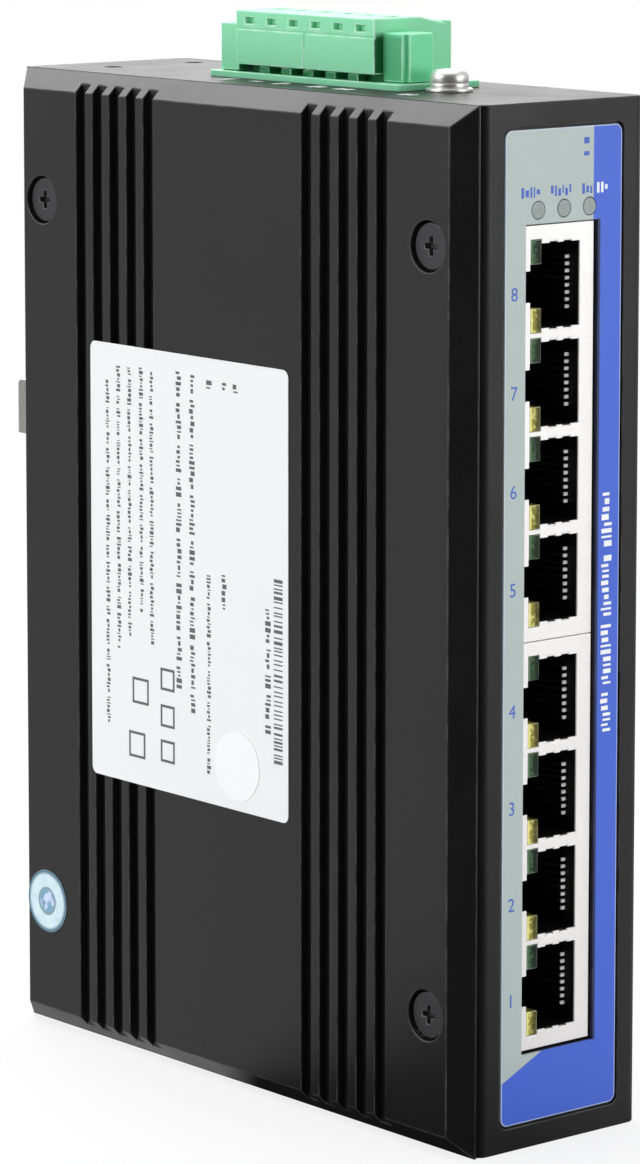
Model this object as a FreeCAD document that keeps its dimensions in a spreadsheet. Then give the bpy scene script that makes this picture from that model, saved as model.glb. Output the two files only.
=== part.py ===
"""DIN rail Ethernet switch with eight ports: a parametric FreeCAD model, in millimetres.

The origin is the centre of the housing's bottom face. +Z is up, the ports face -Y,
the ribbed side cover faces -X and the DIN rail clip is on the back, towards +Y.
"""

import FreeCAD
import Part
import Sketcher
import os
import re

# ---------------------------------------------------------------- driving sizes

SIZES = [
    # housing
    ("housing_width", 34.5, "side cover's outer face to the right wall"),
    ("housing_depth", 105.5, "front face to back face"),
    ("housing_height", 150, "bottom face to top face"),
    ("wall", 2, "thickness of the body's walls"),
    ("edge_radius", 2, "rounding of the body's upright edges"),
    ("dimple_radius", 1.4, "pressed dimples in the top wall"),
    ("dimple_depth", 0.4, "pressed dimples in the top wall"),
    ("dimple_inset", 9.8, "back face to the dimples"),
    ("dimple_offset", 9.5, "cover's inner face to the first dimple"),
    ("dimple_spacing", 15.9, "between the two dimples"),
    # side cover
    ("cover_thickness", 3.1, "side cover, over the ribs"),
    ("cover_chamfer", 3, "bevel all round the cover's outer face"),
    ("cover_inset", 0.3, "cover's end to the body's front and back faces"),
    ("cover_lip", 1.2, "height of the locating rim inside the body"),
    ("cover_lip_width", 1.5, "thickness of that rim"),
    ("cover_lip_play", 0.2, "rim to the body's walls"),
    ("groove_width", 2.25, "each groove of the side cover"),
    ("groove_depth", 1.3, "each groove of the side cover"),
    ("groove_pitch", 4.15, "groove to groove"),
    ("groove_inset", 26, "front or back face to the middle of a set of grooves"),
    # screws of the side cover
    ("cover_screw_inset", 7.8, "front or back face to the screw's axis"),
    ("cover_screw_spacing", 110, "lower screw to upper screw"),
    ("cover_screw_head", 6.6, "head diameter"),
    ("cover_screw_head_height", 1.3, "head height"),
    ("cover_screw_sink", 0.65, "head below the cover's face"),
    ("lug_size", 8, "block that takes a cover screw"),
    ("lug_gap", 0.5, "that block to the port window"),
    ("thread_diameter", 3, "all machine screws"),
    ("thread_length", 7, "shank under the head"),
    ("screw_play", 0.2, "radial room of a shank in a plain hole"),
    ("head_play", 0.4, "radial room of a head in its counterbore"),
    ("recess_span", 2.7, "tip to tip of a cross recess"),
    ("recess_slot", 0.75, "width of a cross recess's arms"),
    ("recess_depth", 0.9, "depth of a cross recess"),
    # front film
    ("film_side_margin", 4.6, "body's left or right side to the film"),
    ("film_end_margin", 3.8, "top or bottom face to the film"),
    ("film_thickness", 0.4, "printed front film"),
    ("film_corner", 1.2, "corner radius of the film"),
    ("film_play", 0.35, "film's edge to its recess"),
    ("film_sink", 0.1, "film's face below the front face"),
    # port gangs
    ("gang_length", 59.2, "four ports in one shielded gang"),
    ("gang_gap", 0.1, "between the two gangs"),
    ("gang_width", 13.2, "left to right"),
    ("gang_depth", 21.3, "front to back"),
    ("gang_inset", 8.7, "cover's inner face to the gang"),
    ("gang_recess", 0.6, "gang's face behind the front face"),
    ("gang_drop", 1.6, "middle of the housing to the middle of the two gangs"),
    ("window_gap", 0.2, "window's edge to the gangs at left and top"),
    ("window_gap_right", 0.4, "window's edge to the gangs at right"),
    ("window_gap_bottom", 0.4, "window's edge to the gangs at the bottom"),
    ("shield_thickness", 0.3, "sheet of the port shields"),
    ("shield_fit", 0.05, "shield to the moulding inside it"),
    ("port_pitch", 13.97, "port to port in a gang"),
    ("port_height", 12, "opening across the contacts"),
    ("port_width", 7.3, "opening from latch side to contact side"),
    ("port_depth", 13, "opening from the face inwards"),
    ("port_inset", 3.2, "gang's left side to the main opening"),
    ("latch_room_height", 6.1, "first step for the latch"),
    ("latch_room_width", 2.1, "first step for the latch"),
    ("latch_slot_height", 4.4, "second step for the latch"),
    ("latch_slot_width", 1.3, "second step for the latch"),
    ("notch_width", 1.5, "notches in the shield's mouth for its ground springs"),
    ("notch_depth", 0.4, "those notches, beyond the mouth"),
    ("notch_pitch", 2.7, "between those notches"),
    ("light_height", 3.5, "port light, upright"),
    ("light_width", 2, "port light, across"),
    ("light_length", 7, "port light, inwards"),
    ("light_offset", 4.85, "port's centre to its lights"),
    ("light_fit", 0.05, "port light in its pocket"),
    ("contact_pitch", 1.02, "contact to contact"),
    ("contact_width", 0.5, "width of a contact wire"),
    ("contact_thickness", 0.35, "thickness of a contact wire"),
    ("contact_setback", 2.1, "port's face to the contacts' front bends"),
    ("contact_reach", 0.65, "front bend's distance from the port's wall"),
    ("contact_lift", 2, "back end's distance from the port's wall"),
    ("contact_foot", 1, "straight back end of a contact wire"),
    # status lights
    ("status_light_diameter", 2.5, "light tip at the front"),
    ("status_light_pitch", 4.9, "light to light"),
    ("status_light_rise", 2.15, "port gangs' upper end to the lights' middle"),
    ("status_light_inset", 10.8, "cover's inner face to the first light"),
    ("status_light_length", 6, "light from front to back"),
    ("status_light_play", 0.15, "radial room in the front wall"),
    ("film_light_play", 0.08, "radial room in the film"),
    ("holder_height", 3.6, "moulding that carries the status lights"),
    ("holder_depth", 5, "moulding that carries the status lights"),
    ("holder_overlap", 1.5, "lights' back ends inside that moulding"),
    # circuit board
    ("board_thickness", 1.6, "circuit board"),
    ("board_gap", 1, "board's front edge to the front wall"),
    ("board_back_gap", 2.5, "board's back edge to the back wall"),
    ("board_end_gap", 4, "board's lower or upper edge to the bottom or top wall"),
    ("post_diameter", 6, "posts under the board"),
    ("board_hole_gap", 5, "port gangs to the board's front screw holes"),
    ("board_hole_inset", 9, "board's back edge to its back screw holes"),
    ("board_hole_rise", 4, "board's lower or upper edge to the screw holes"),
    ("pan_head", 5.6, "pan head diameter"),
    ("pan_head_height", 1.9, "pan head height"),
    # parts on the board, each with its middle measured from the board's edges
    ("chip_height", 1.6, "switch chip off the board"),
    ("chip_width", 14, "switch chip, front to back"),
    ("chip_length", 14, "switch chip, upright"),
    ("chip_inset", 51, "switch chip from the board's back edge"),
    ("chip_rise", 69, "switch chip from the board's lower edge"),
    ("transformer_height", 5.7, "line transformer off the board"),
    ("transformer_width", 9.4, "line transformer, front to back"),
    ("transformer_length", 12.7, "line transformer, upright"),
    ("transformer_gap", 2.5, "line transformer to the port gangs"),
    ("inductor_height", 6, "power inductor off the board"),
    ("inductor_width", 12, "power inductor, front to back"),
    ("inductor_length", 12, "power inductor, upright"),
    ("inductor_inset", 28, "power inductor from the board's back edge"),
    ("inductor_drop", 27, "power inductor from the board's upper edge"),
    ("relay_height", 10, "alarm relay off the board"),
    ("relay_width", 7.4, "alarm relay, front to back"),
    ("relay_length", 15, "alarm relay, upright"),
    ("relay_inset", 15, "alarm relay from the board's back edge"),
    ("relay_rise", 72, "alarm relay from the board's lower edge"),
    ("crystal_height", 3.6, "clock crystal off the board"),
    ("crystal_width", 4.7, "clock crystal, front to back"),
    ("crystal_length", 11, "clock crystal, upright"),
    ("crystal_inset", 39, "clock crystal from the board's back edge"),
    ("crystal_rise", 48, "clock crystal from the board's lower edge"),
    ("capacitor_diameter", 8, "storage capacitor"),
    ("capacitor_height", 11.5, "storage capacitor off the board"),
    ("capacitor_inset", 14, "storage capacitors from the board's back edge"),
    ("capacitor_drop", 36, "lower storage capacitor from the board's upper edge"),
    ("capacitor_pitch", 12, "between the storage capacitors"),
    # terminal block on the top
    ("terminal_inset", 8.5, "cover's inner face to the plug"),
    ("terminal_centre", 48.7, "front face to the middle of the plug"),
    ("pole_pitch", 5.08, "terminal to terminal"),
    ("plug_length", 31.6, "front to back"),
    ("plug_width", 15, "left to right"),
    ("plug_bottom", 2.1, "plug's underside above the top face"),
    ("plug_height", 8.1, "plug's underside to its top"),
    ("plug_flat", 8.9, "flat part of the plug's top"),
    ("plug_lip", 1.5, "raised lip along the plug's right edge"),
    ("plug_lip_rise", 0.35, "lip above the slope's foot"),
    ("plug_dip", 1, "depth of the slope beside the lip"),
    ("plug_skirt", 1.6, "thickness of the plug's outer walls"),
    ("tongue_width", 7.2, "part of the plug that enters the header"),
    ("tongue_depth", 10, "that part, below the plug's underside"),
    ("tongue_inset", 2.9, "plug's left face to that part"),
    ("tongue_end_inset", 0.3, "plug's front or back face to that part"),
    ("under_depth", 2.4, "hollow under the plug's right side"),
    ("plug_play", 0.2, "plug to header, all round"),
    ("seat_gap", 0.1, "plug's seats above the header"),
    ("ear_width", 5.2, "ears at the plug's front and back, left to right"),
    ("ear_length", 5, "ears, front to back"),
    ("ear_height", 7.2, "ears above the header's rim"),
    ("ear_inset", 1.8, "plug's left face to the ears"),
    ("ear_notch", 0.8, "notch down each ear's outer left corner"),
    ("test_slot_width", 2, "test openings in the plug's left face"),
    ("test_slot_height", 0.9, "test openings in the plug's left face"),
    ("test_slot_depth", 1, "test openings in the plug's left face"),
    ("test_slot_drop", 1.5, "plug's top to the middle of the test openings"),
    ("panel_groove", 0.2, "fine lines in the plug's left face"),
    ("panel_groove_drop", 2.8, "plug's top to the level line"),
    ("wire_hole", 3, "wire entry in the plug's top"),
    ("flange_thickness", 1, "header's rim on the top face"),
    ("flange_margin", 0.3, "rim beyond the plug at left and right"),
    ("flange_overhang", 6, "rim beyond the plug at front and back"),
    ("flange_corner", 0.5, "corner radius of the rim"),
    ("rib_length", 2.2, "ribs under the plug, front to back"),
    ("rib_inset", 0.8, "plug's left face to the ribs"),
    ("header_wall", 1.2, "wall of the header's box"),
    ("header_depth", 11, "header's box below the top face"),
    ("pin_size", 1, "square header pins"),
    ("pin_height", 2.2, "pin tips below the top face"),
    ("pin_drop", 2.4, "header's underside to the pins' level legs"),
    ("pin_tail", 0.8, "pin ends beyond the board"),
    ("pin_hole", 1.8, "holes for the pins in the board"),
    ("pin_play", 0.15, "room round a pin in the plug"),
    ("socket_size", 2.4, "plug's socket contacts"),
    ("socket_inset", 1, "plug's tongue beyond the socket contacts"),
    ("socket_depth", 5.7, "hollow of a socket contact above the tongue's end"),
    ("clamp_height", 4.6, "wire clamp, upright"),
    ("clamp_length", 3.9, "wire clamp, along the row"),
    ("clamp_width", 4.6, "wire clamp, across the row"),
    ("clamp_wall", 0.8, "wire clamp's wall"),
    ("clamp_fit", 0.1, "room round a socket contact, clamp or clamp screw"),
    ("clamp_screw_diameter", 3.2, "clamp screw's head"),
    ("clamp_screw_shank", 2, "clamp screw's shank"),
    ("clamp_screw_sink", 0.6, "clamp screw's head inside the plug's right face"),
    ("clamp_screw_tip", 1, "clamp screw's tip from the pin's axis"),
    ("blade_slot", 0.6, "width and depth of the slot for a flat blade"),
    # ground screw on the top
    ("ground_inset", 14.4, "cover's inner face to the ground screw"),
    ("ground_setback", 23.1, "front face to the ground screw"),
    ("flat_washer_diameter", 6.8, "flat washer"),
    ("flat_washer_thickness", 0.5, "flat washer"),
    ("spring_washer_diameter", 5.6, "spring washer"),
    ("spring_washer_thickness", 0.8, "spring washer"),
    ("spring_washer_split", 0.5, "gap in the spring washer"),
    # DIN rail clip
    ("rail_height", 35, "height of the DIN rail that the clip fits"),
    ("rail_rise", 1.5, "middle of the housing to the middle of the rail"),
    ("rail_lip", 1, "thickness of the rail's lip"),
    ("rail_play", 0.3, "room round the rail's lip"),
    ("bracket_width", 25, "clip's bracket, left to right"),
    ("bracket_plate", 1.6, "bracket's base plate behind the latch"),
    ("bracket_drop", 13, "bracket's lower edge below the rail"),
    ("rail_seat", 3.9, "rail's front face behind the back face"),
    ("hook_thickness", 2, "hooks behind the rail's lip"),
    ("hook_overlap", 2.3, "hook's reach over the rail's lip"),
    ("hook_height", 6, "upper hook above the rail"),
    ("hook_bevel", 0.6, "bevel on the upper hook"),
    ("latch_width", 10.6, "sliding latch"),
    ("latch_thickness", 1.1, "sliding latch's plate"),
    ("latch_play", 0.15, "latch in its channel"),
    ("latch_web", 2.5, "latch above its spring window"),
    ("channel_lip", 1.3, "channel's lips over the latch's edges"),
    ("channel_room", 0.5, "channel's end above the latch"),
    ("nose_height", 5, "latch's nose below the rail"),
    ("nose_bevel", 1.6, "bevels on the latch's nose"),
    ("nose_tip", 0.5, "flat top of the nose's hook"),
    ("pull_tab", 8, "latch below the bracket"),
    ("pull_slot_width", 5, "slot for a screwdriver"),
    ("pull_slot_height", 2.4, "slot for a screwdriver"),
    ("pull_slot_rise", 1.5, "latch's lower edge to that slot"),
    ("pull_slot_corner", 1, "corner radius of that slot"),
    ("spring_diameter", 3.6, "coil spring, over the wire"),
    ("spring_wire", 0.5, "coil spring's wire"),
    ("spring_length", 12, "coil spring as fitted"),
    ("spring_turns", 9, "turns of the coil spring"),
    ("spring_rise", 5.7, "latch's hook to the tab under the spring"),
    ("spring_play", 0.2, "room round the spring"),
    ("tab_height", 2, "bracket's tab under the spring"),
    ("tab_inset", 0.1, "tab below the rail's seat, and above the latch's window edge"),
    ("bracket_screw_offset", 9, "middle of the bracket to its screws"),
    ("bracket_screw_rise", 5.5, "bracket's lower edge to its lower screws"),
    ("bracket_screw_drop", 10, "bracket's upper edge to its upper screws"),
    ("bracket_screw_tip", 0.5, "screw ends inside the back wall"),
    ("bracket_head_play", 0.25, "radial room of a head in the bracket"),
    # labels
    ("label_thickness", 0.12, "paper and foil labels"),
    ("label_width", 47.2, "rating label, front to back"),
    ("label_height", 67, "rating label, upright"),
    ("label_corner", 1.2, "rating label's corners"),
    ("label_setback", 38.2, "front face to the rating label"),
    ("label_bottom", 42.5, "bottom to the rating label"),
    ("seal_diameter", 9.8, "round seal over the lower back screw"),
    ("dot_diameter", 10.4, "clear round dot on the rating label"),
    ("dot_inset", 11.8, "rating label's front edge to the dot's centre"),
    ("dot_rise", 6.7, "rating label's lower edge to the dot's centre"),
]

GROOVES_PER_SET = 5
PORTS_PER_GANG = 4
CONTACTS_PER_PORT = 8
STATUS_LIGHTS = 3
POLES = 6

# ------------------------------------------- planes and places worked out from them

PLACES = {
    "cover_x": "-housing_width / 2",
    "seam_x": "cover_x + cover_thickness",
    "right_x": "housing_width / 2",
    "front_y": "-housing_depth / 2",
    "back_y": "housing_depth / 2",
    "body_width": "housing_width - cover_thickness",
    "body_middle_x": "seam_x + body_width / 2",
    "film_width": "body_width - 2 * film_side_margin",
    "film_height": "housing_height - 2 * film_end_margin",
    "gang_x": "seam_x + gang_inset",
    "gang_y": "front_y + gang_recess",
    "gangs_height": "2 * gang_length + gang_gap",
    "gangs_z": "housing_height / 2 - gang_drop - gangs_height / 2",
    "port_x": "gang_x + port_inset",
    "first_port": "gang_length / 2 - 1.5 * port_pitch",
    "status_x": "seam_x + status_light_inset",
    "status_z": "gangs_z + gangs_height + status_light_rise",
    "board_x": "gang_x + gang_width",
    "board_y": "front_y + wall + board_gap",
    "board_back_y": "back_y - wall - board_back_gap",
    "board_z": "wall + board_end_gap",
    "board_top_z": "housing_height - wall - board_end_gap",
    "board_back_x": "board_x + board_thickness",
    "post_length": "right_x - wall - board_back_x",
    "lug_length": "gang_inset - window_gap - lug_gap",
    "plug_x": "seam_x + terminal_inset",
    "plug_middle_y": "front_y + terminal_centre",
    "plug_y": "plug_middle_y - plug_length / 2",
    "plug_z": "housing_height + plug_bottom",
    "plug_top": "plug_z + plug_height",
    "first_pole": "plug_middle_y - 2.5 * pole_pitch",
    "tongue_x": "plug_x + tongue_inset",
    "tongue_length": "plug_length - 2 * tongue_end_inset",
    "tongue_z": "plug_z - tongue_depth",
    "pin_x": "tongue_x + tongue_width / 2",
    "header_x": "tongue_x - plug_play - header_wall",
    "header_width": "tongue_width + 2 * plug_play + 2 * header_wall",
    "header_length": "tongue_length + 2 * plug_play + 2 * header_wall",
    "header_y": "plug_middle_y - header_length / 2",
    "header_z": "housing_height - header_depth",
    "clamp_z": "plug_z + (plug_height - plug_dip - clamp_height) / 2",
    "ground_x": "seam_x + ground_inset",
    "ground_y": "front_y + ground_setback",
    "rail_bottom_z": "housing_height / 2 + rail_rise - rail_height / 2",
    "rail_top_z": "rail_bottom_z + rail_height",
    "bracket_bottom": "rail_bottom_z - bracket_drop",
    "hook_gap_y": "rail_seat + rail_lip + rail_play",
    "hook_y": "hook_gap_y + hook_thickness",
    "bracket_top_z": "rail_top_z + rail_play + hook_height",
    "channel_depth": "latch_thickness + 2 * latch_play",
    "tab_z": "rail_bottom_z + hook_overlap + spring_rise",
    "spring_z": "tab_z + tab_height",
    "spring_top": "spring_z + spring_length",
    "latch_top": "spring_top + latch_web",
    "label_y": "front_y + label_setback",
    "cover_screw_back_y": "back_y - cover_screw_inset",
    "cover_screw_low_z": "(housing_height - cover_screw_spacing) / 2",
    "cover_screw_high_z": "(housing_height + cover_screw_spacing) / 2",
}

ALIASES = {name for name, value, note in SIZES}
WORD = re.compile(r"[A-Za-z_]\w*")


def formula(text):
    """Spell a formula of size names out as references to the sheet's cells."""

    def spell(match):
        word = match.group()
        if word in PLACES:
            return "(" + formula(PLACES[word]) + ")"
        if word in ALIASES:
            return "sizes." + word
        return word

    return WORD.sub(spell, str(text))


# ---------------------------------------------------------------- document

doc = FreeCAD.newDocument("din_rail_ethernet_switch")
sheet = doc.addObject("Spreadsheet::Sheet", "sizes")
for row, (alias, value, note) in enumerate(SIZES, start=1):
    sheet.set(f"A{row}", alias.replace("_", " "))
    sheet.set(f"B{row}", str(value))
    sheet.set(f"C{row}", note)
    sheet.setAlias(f"B{row}", alias)
doc.recompute()

nodes = []

# ---------------------------------------------------------------- helpers

VECTOR = FreeCAD.Vector
TURNS = {
    "+Z": FreeCAD.Rotation(),
    "-Z": FreeCAD.Rotation(VECTOR(1, 0, 0), 180),
    "+X": FreeCAD.Rotation(VECTOR(0, 1, 0), 90),
    "-X": FreeCAD.Rotation(VECTOR(0, 1, 0), -90),
    "+Y": FreeCAD.Rotation(VECTOR(1, 0, 0), -90),
    "-Y": FreeCAD.Rotation(VECTOR(1, 0, 0), 90),
}


def bind(thing, **formulas):
    """Tie properties of an object to formulas of the sheet's sizes."""
    for name, text in formulas.items():
        thing.setExpression(name, formula(text))
    return thing


def place(thing, at, turn="+Z"):
    """Put an object's origin at a point, with its own Z along the named direction."""
    thing.Placement = FreeCAD.Placement(VECTOR(), TURNS[turn])
    for axis, text in zip("xyz", at):
        thing.setExpression("Placement.Base." + axis, formula(text))
    return thing


def box(name, size, at):
    """A block of the given size with its lowest corner at a point."""
    block = doc.addObject("Part::Box", name)
    bind(block, Length=size[0], Width=size[1], Height=size[2])
    return place(block, at)


def rod(name, diameter, length, at, turn="+Z"):
    """A cylinder that runs from a point along the named direction."""
    cylinder = doc.addObject("Part::Cylinder", name)
    bind(cylinder, Radius=f"({diameter}) / 2", Height=length)
    return place(cylinder, at, turn)


def fuse(name, pieces):
    """Join solids that touch or overlap into one."""
    joined = doc.addObject("Part::MultiFuse", name)
    joined.Shapes = pieces
    joined.Refine = True
    return joined


def cut(name, base, tools):
    """Take tools away from a base."""
    tool = tools[0] if len(tools) == 1 else group(name + "_tools", tools)
    result = doc.addObject("Part::Cut", name)
    result.Base = base
    result.Tool = tool
    result.Refine = True
    return result


def group(name, pieces):
    """Keep several solids together without joining them."""
    compound = doc.addObject("Part::Compound", name)
    compound.Links = pieces
    return compound


def copy(name, source, at, turn="+Z"):
    """The same solid again at another place."""
    return place(group(name, [source]), at, turn)


def row_of(name, source, count, at, step):
    """Copies of a solid in a row, the first at a point and each a step further."""
    copies = []
    for index in range(count):
        spot = [f"{start} + {index} * ({pace})" for start, pace in zip(at, step)]
        copies.append(copy(f"{name}_{index + 1}", source, spot))
    return group(name, copies)


def origin_plane(body, role):
    """One of a body's own origin planes."""
    return next(plane for plane in body.Origin.OriginFeatures if plane.Role == role)


def polygon_sketch(body, name, role, corners, offset="0"):
    """A closed polygon whose corners are formulas, on one of the body's planes."""
    sketch = body.newObject("Sketcher::SketchObject", name)
    sketch.AttachmentSupport = [(origin_plane(body, role), "")]
    sketch.MapMode = "FlatFace"
    sketch.setExpression("AttachmentOffset.Base.z", formula(offset))
    values = [[number(text) for text in corner] for corner in corners]
    count = len(corners)
    for index in range(count):
        start = VECTOR(*values[index], 0)
        end = VECTOR(*values[(index + 1) % count], 0)
        sketch.addGeometry(Part.LineSegment(start, end), False)
    for index in range(count):
        following = (index + 1) % count
        sketch.addConstraint(Sketcher.Constraint("Coincident", index, 2, following, 1))
    for index, corner in enumerate(corners):
        for kind, text, value in zip(("DistanceX", "DistanceY"), corner, values[index]):
            constraint = Sketcher.Constraint(kind, -1, 1, index, 1, value)
            where = sketch.addConstraint(constraint)
            sketch.setExpression(f"Constraints[{where}]", formula(text))
    return sketch


def number(text):
    """The present value of a formula."""
    return float(sheet.evalExpression(formula(text)))


def pad(body, sketch, length, reverse=False):
    """Thicken a sketch into a solid."""
    feature = body.newObject("PartDesign::Pad", sketch.Name + "_pad")
    feature.Profile = sketch
    feature.Reversed = reverse
    bind(feature, Length=length)
    sketch.Visibility = False
    doc.recompute()
    return feature


def prism(name, role, corners, length, offset="0", reverse=False):
    """A body made of one polygon, thickened."""
    body = doc.addObject("PartDesign::Body", name)
    sketch = polygon_sketch(body, name + "_outline", role, corners, offset)
    pad(body, sketch, length, reverse)
    return body


def edge_names(feature, wanted):
    """Names of a feature's edges that a test picks out."""
    edges = enumerate(feature.Shape.Edges, start=1)
    return [f"Edge{number}" for number, edge in edges if wanted(edge)]


def runs_along(direction):
    """A test for straight edges along a direction."""

    def test(edge):
        if not isinstance(edge.Curve, Part.Line):
            return False
        return abs(abs(edge.Curve.Direction.dot(direction)) - 1) < 1e-6

    return test


def round_edges(body, feature, wanted, radius):
    """Fillet the picked edges of a body's last feature."""
    fillet = body.newObject("PartDesign::Fillet", body.Name + "_fillet")
    fillet.Base = (feature, edge_names(feature, wanted))
    bind(fillet, Radius=radius)
    doc.recompute()
    return fillet


def rounded_block(name, size, at, direction, radius):
    """A block whose four edges along a direction are rounded."""
    body = doc.addObject("PartDesign::Body", name)
    block = body.newObject("PartDesign::AdditiveBox", name + "_block")
    bind(block, Length=size[0], Width=size[1], Height=size[2])
    doc.recompute()
    round_edges(body, block, runs_along(direction), radius)
    return place(body, at)


def node(label, thing):
    """Register a finished sub-part under its own name."""
    thing.Label = label
    nodes.append(thing)
    return thing


# ---------------------------------------------------------------- fasteners


def cross_recess(name, top):
    """A cross recess that opens at the level top, about the Z axis."""
    bottom = f"{top} - recess_depth"
    arm = box(
        name + "_arm",
        ("recess_span", "recess_slot", "2 * recess_depth"),
        ("-recess_span / 2", "-recess_slot / 2", bottom),
    )
    other_arm = box(
        name + "_other_arm",
        ("recess_slot", "recess_span", "2 * recess_depth"),
        ("-recess_slot / 2", "-recess_span / 2", bottom),
    )
    return fuse(name, [arm, other_arm])


def flat_head_screw(name, shank):
    """A low flat-headed screw: head from 0 up, shank down from 0."""
    origin = ("0", "0", "0")
    head = rod(name + "_head", "cover_screw_head", "cover_screw_head_height", origin)
    stem = rod(name + "_stem", "thread_diameter", shank, origin, "-Z")
    blank = fuse(name + "_blank", [head, stem])
    return cut(name, blank, [cross_recess(name + "_cross", "cover_screw_head_height")])


def pan_head_screw(name, shank):
    """A pan-headed screw with a domed head: head from 0 up, shank down from 0."""
    origin = ("0", "0", "0")
    body = doc.addObject("PartDesign::Body", name + "_pan")
    disc = body.newObject("PartDesign::AdditiveCylinder", name + "_disc")
    bind(disc, Radius="pan_head / 2", Height="pan_head_height")
    doc.recompute()
    top = max(edge.BoundBox.ZMax for edge in disc.Shape.Edges)

    def on_top(edge):
        return edge.Closed and edge.BoundBox.ZMin > top - 1e-6

    round_edges(body, disc, on_top, "pan_head_height * 0.6")
    stem = rod(name + "_stem", "thread_diameter", shank, origin, "-Z")
    blank = fuse(name + "_blank", [body, stem])
    return cut(name, blank, [cross_recess(name + "_cross", "pan_head_height")])


COVER_SCREW_SPOTS = [
    ("front_y + cover_screw_inset", "cover_screw_low_z"),
    ("front_y + cover_screw_inset", "cover_screw_high_z"),
    ("cover_screw_back_y", "cover_screw_low_z"),
    ("cover_screw_back_y", "cover_screw_high_z"),
]
BOARD_SCREW_SPOTS = [
    ("gang_y + gang_depth + board_hole_gap", "board_z + board_hole_rise"),
    ("gang_y + gang_depth + board_hole_gap", "board_top_z - board_hole_rise"),
    ("board_back_y - board_hole_inset", "board_z + board_hole_rise"),
    ("board_back_y - board_hole_inset", "board_top_z - board_hole_rise"),
]
GANG_BASES = ("gangs_z", "(gangs_z + gang_length + gang_gap)")
BRACKET_SCREW_SPOTS = [
    ("body_middle_x - bracket_screw_offset", "bracket_bottom + bracket_screw_rise"),
    ("body_middle_x + bracket_screw_offset", "bracket_bottom + bracket_screw_rise"),
    ("body_middle_x - bracket_screw_offset", "bracket_top_z - bracket_screw_drop"),
    ("body_middle_x + bracket_screw_offset", "bracket_top_z - bracket_screw_drop"),
]

# ---------------------------------------------------------------- housing


def status_light_spots(depth):
    """Where the status lights' axes start, at a depth along Y."""
    for index in range(STATUS_LIGHTS):
        yield (f"status_x + {index} * status_light_pitch", depth, "status_z")


def port_window(name):
    """The cut through the front wall and the film that clears both port gangs."""
    size = (
        "gang_width + window_gap + window_gap_right",
        "3 * wall",
        "gangs_height + window_gap + window_gap_bottom",
    )
    corner = ("gang_x - window_gap", "front_y - wall", "gangs_z - window_gap_bottom")
    return box(name, size, corner)


def body_shell():
    """Front, top, back, bottom and right walls in one piece, open towards the cover."""
    outer = rounded_block(
        "shell_outer",
        ("body_width", "housing_depth", "housing_height"),
        ("seam_x", "front_y", "0"),
        VECTOR(0, 0, 1),
        "edge_radius",
    )
    hollow = box(
        "shell_hollow",
        ("body_width", "housing_depth - 2 * wall", "housing_height - 2 * wall"),
        ("seam_x - wall", "front_y + wall", "wall"),
    )
    walls = cut("shell_walls", outer, [hollow])

    additions = [walls]
    for index, (y, z) in enumerate(COVER_SCREW_SPOTS):
        inner_side = "front_y + wall" if y.startswith("front") else f"{y} - lug_size / 2"
        depth = "cover_screw_inset + lug_size / 2 - wall"
        size = ("lug_length", depth, "lug_size")
        corner = ("seam_x", inner_side, f"{z} - lug_size / 2")
        additions.append(box(f"shell_lug_{index + 1}", size, corner))
    for index, (y, z) in enumerate(BOARD_SCREW_SPOTS):
        spot = ("board_back_x", y, z)
        post_length = "post_length + wall / 2"
        additions.append(rod(f"shell_post_{index + 1}", "post_diameter", post_length, spot, "+X"))
    solid = fuse("shell_with_lugs", additions)

    film_recess = rounded_block(
        "shell_film_recess",
        (
            "film_width + 2 * film_play",
            "wall + film_thickness + film_sink",
            "film_height + 2 * film_play",
        ),
        (
            "body_middle_x - film_width / 2 - film_play",
            "front_y - wall",
            "(housing_height - film_height) / 2 - film_play",
        ),
        VECTOR(0, 1, 0),
        "film_corner",
    )
    header_hole = box(
        "shell_header_hole",
        ("header_width + 2 * plug_play", "header_length + 2 * plug_play", "3 * wall"),
        ("header_x - plug_play", "header_y - plug_play", "housing_height - 2 * wall"),
    )
    tools = [film_recess, port_window("shell_window"), header_hole]
    for index, spot in enumerate(status_light_spots("front_y - wall")):
        diameter = "status_light_diameter + 2 * status_light_play"
        tools.append(rod(f"shell_light_hole_{index + 1}", diameter, "3 * wall", spot, "+Y"))
    for index, (y, z) in enumerate(COVER_SCREW_SPOTS):
        spot = ("seam_x - wall", y, z)
        length = "thread_length + wall"
        tools.append(rod(f"shell_thread_{index + 1}", "thread_diameter", length, spot, "+X"))
    for index, (y, z) in enumerate(BOARD_SCREW_SPOTS):
        spot = ("board_back_x - wall", y, z)
        length = "post_length + wall"
        tools.append(rod(f"shell_post_hole_{index + 1}", "thread_diameter", length, spot, "+X"))
    for index, (x, z) in enumerate(BRACKET_SCREW_SPOTS):
        spot = (x, "back_y - 2 * wall", z)
        tools.append(rod(f"shell_clip_hole_{index + 1}", "thread_diameter", "3 * wall", spot, "+Y"))
    spot = ("ground_x", "ground_y", "housing_height - 2 * wall")
    tools.append(rod("shell_ground_hole", "thread_diameter", "3 * wall", spot))
    for index in range(2):
        x = f"seam_x + dimple_offset + {index} * dimple_spacing"
        spot = (x, "back_y - dimple_inset", "housing_height - dimple_depth")
        tools.append(rod(f"shell_dimple_{index + 1}", "2 * dimple_radius", "wall", spot))
    node("body_shell", cut("body_shell", solid, tools))


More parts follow.
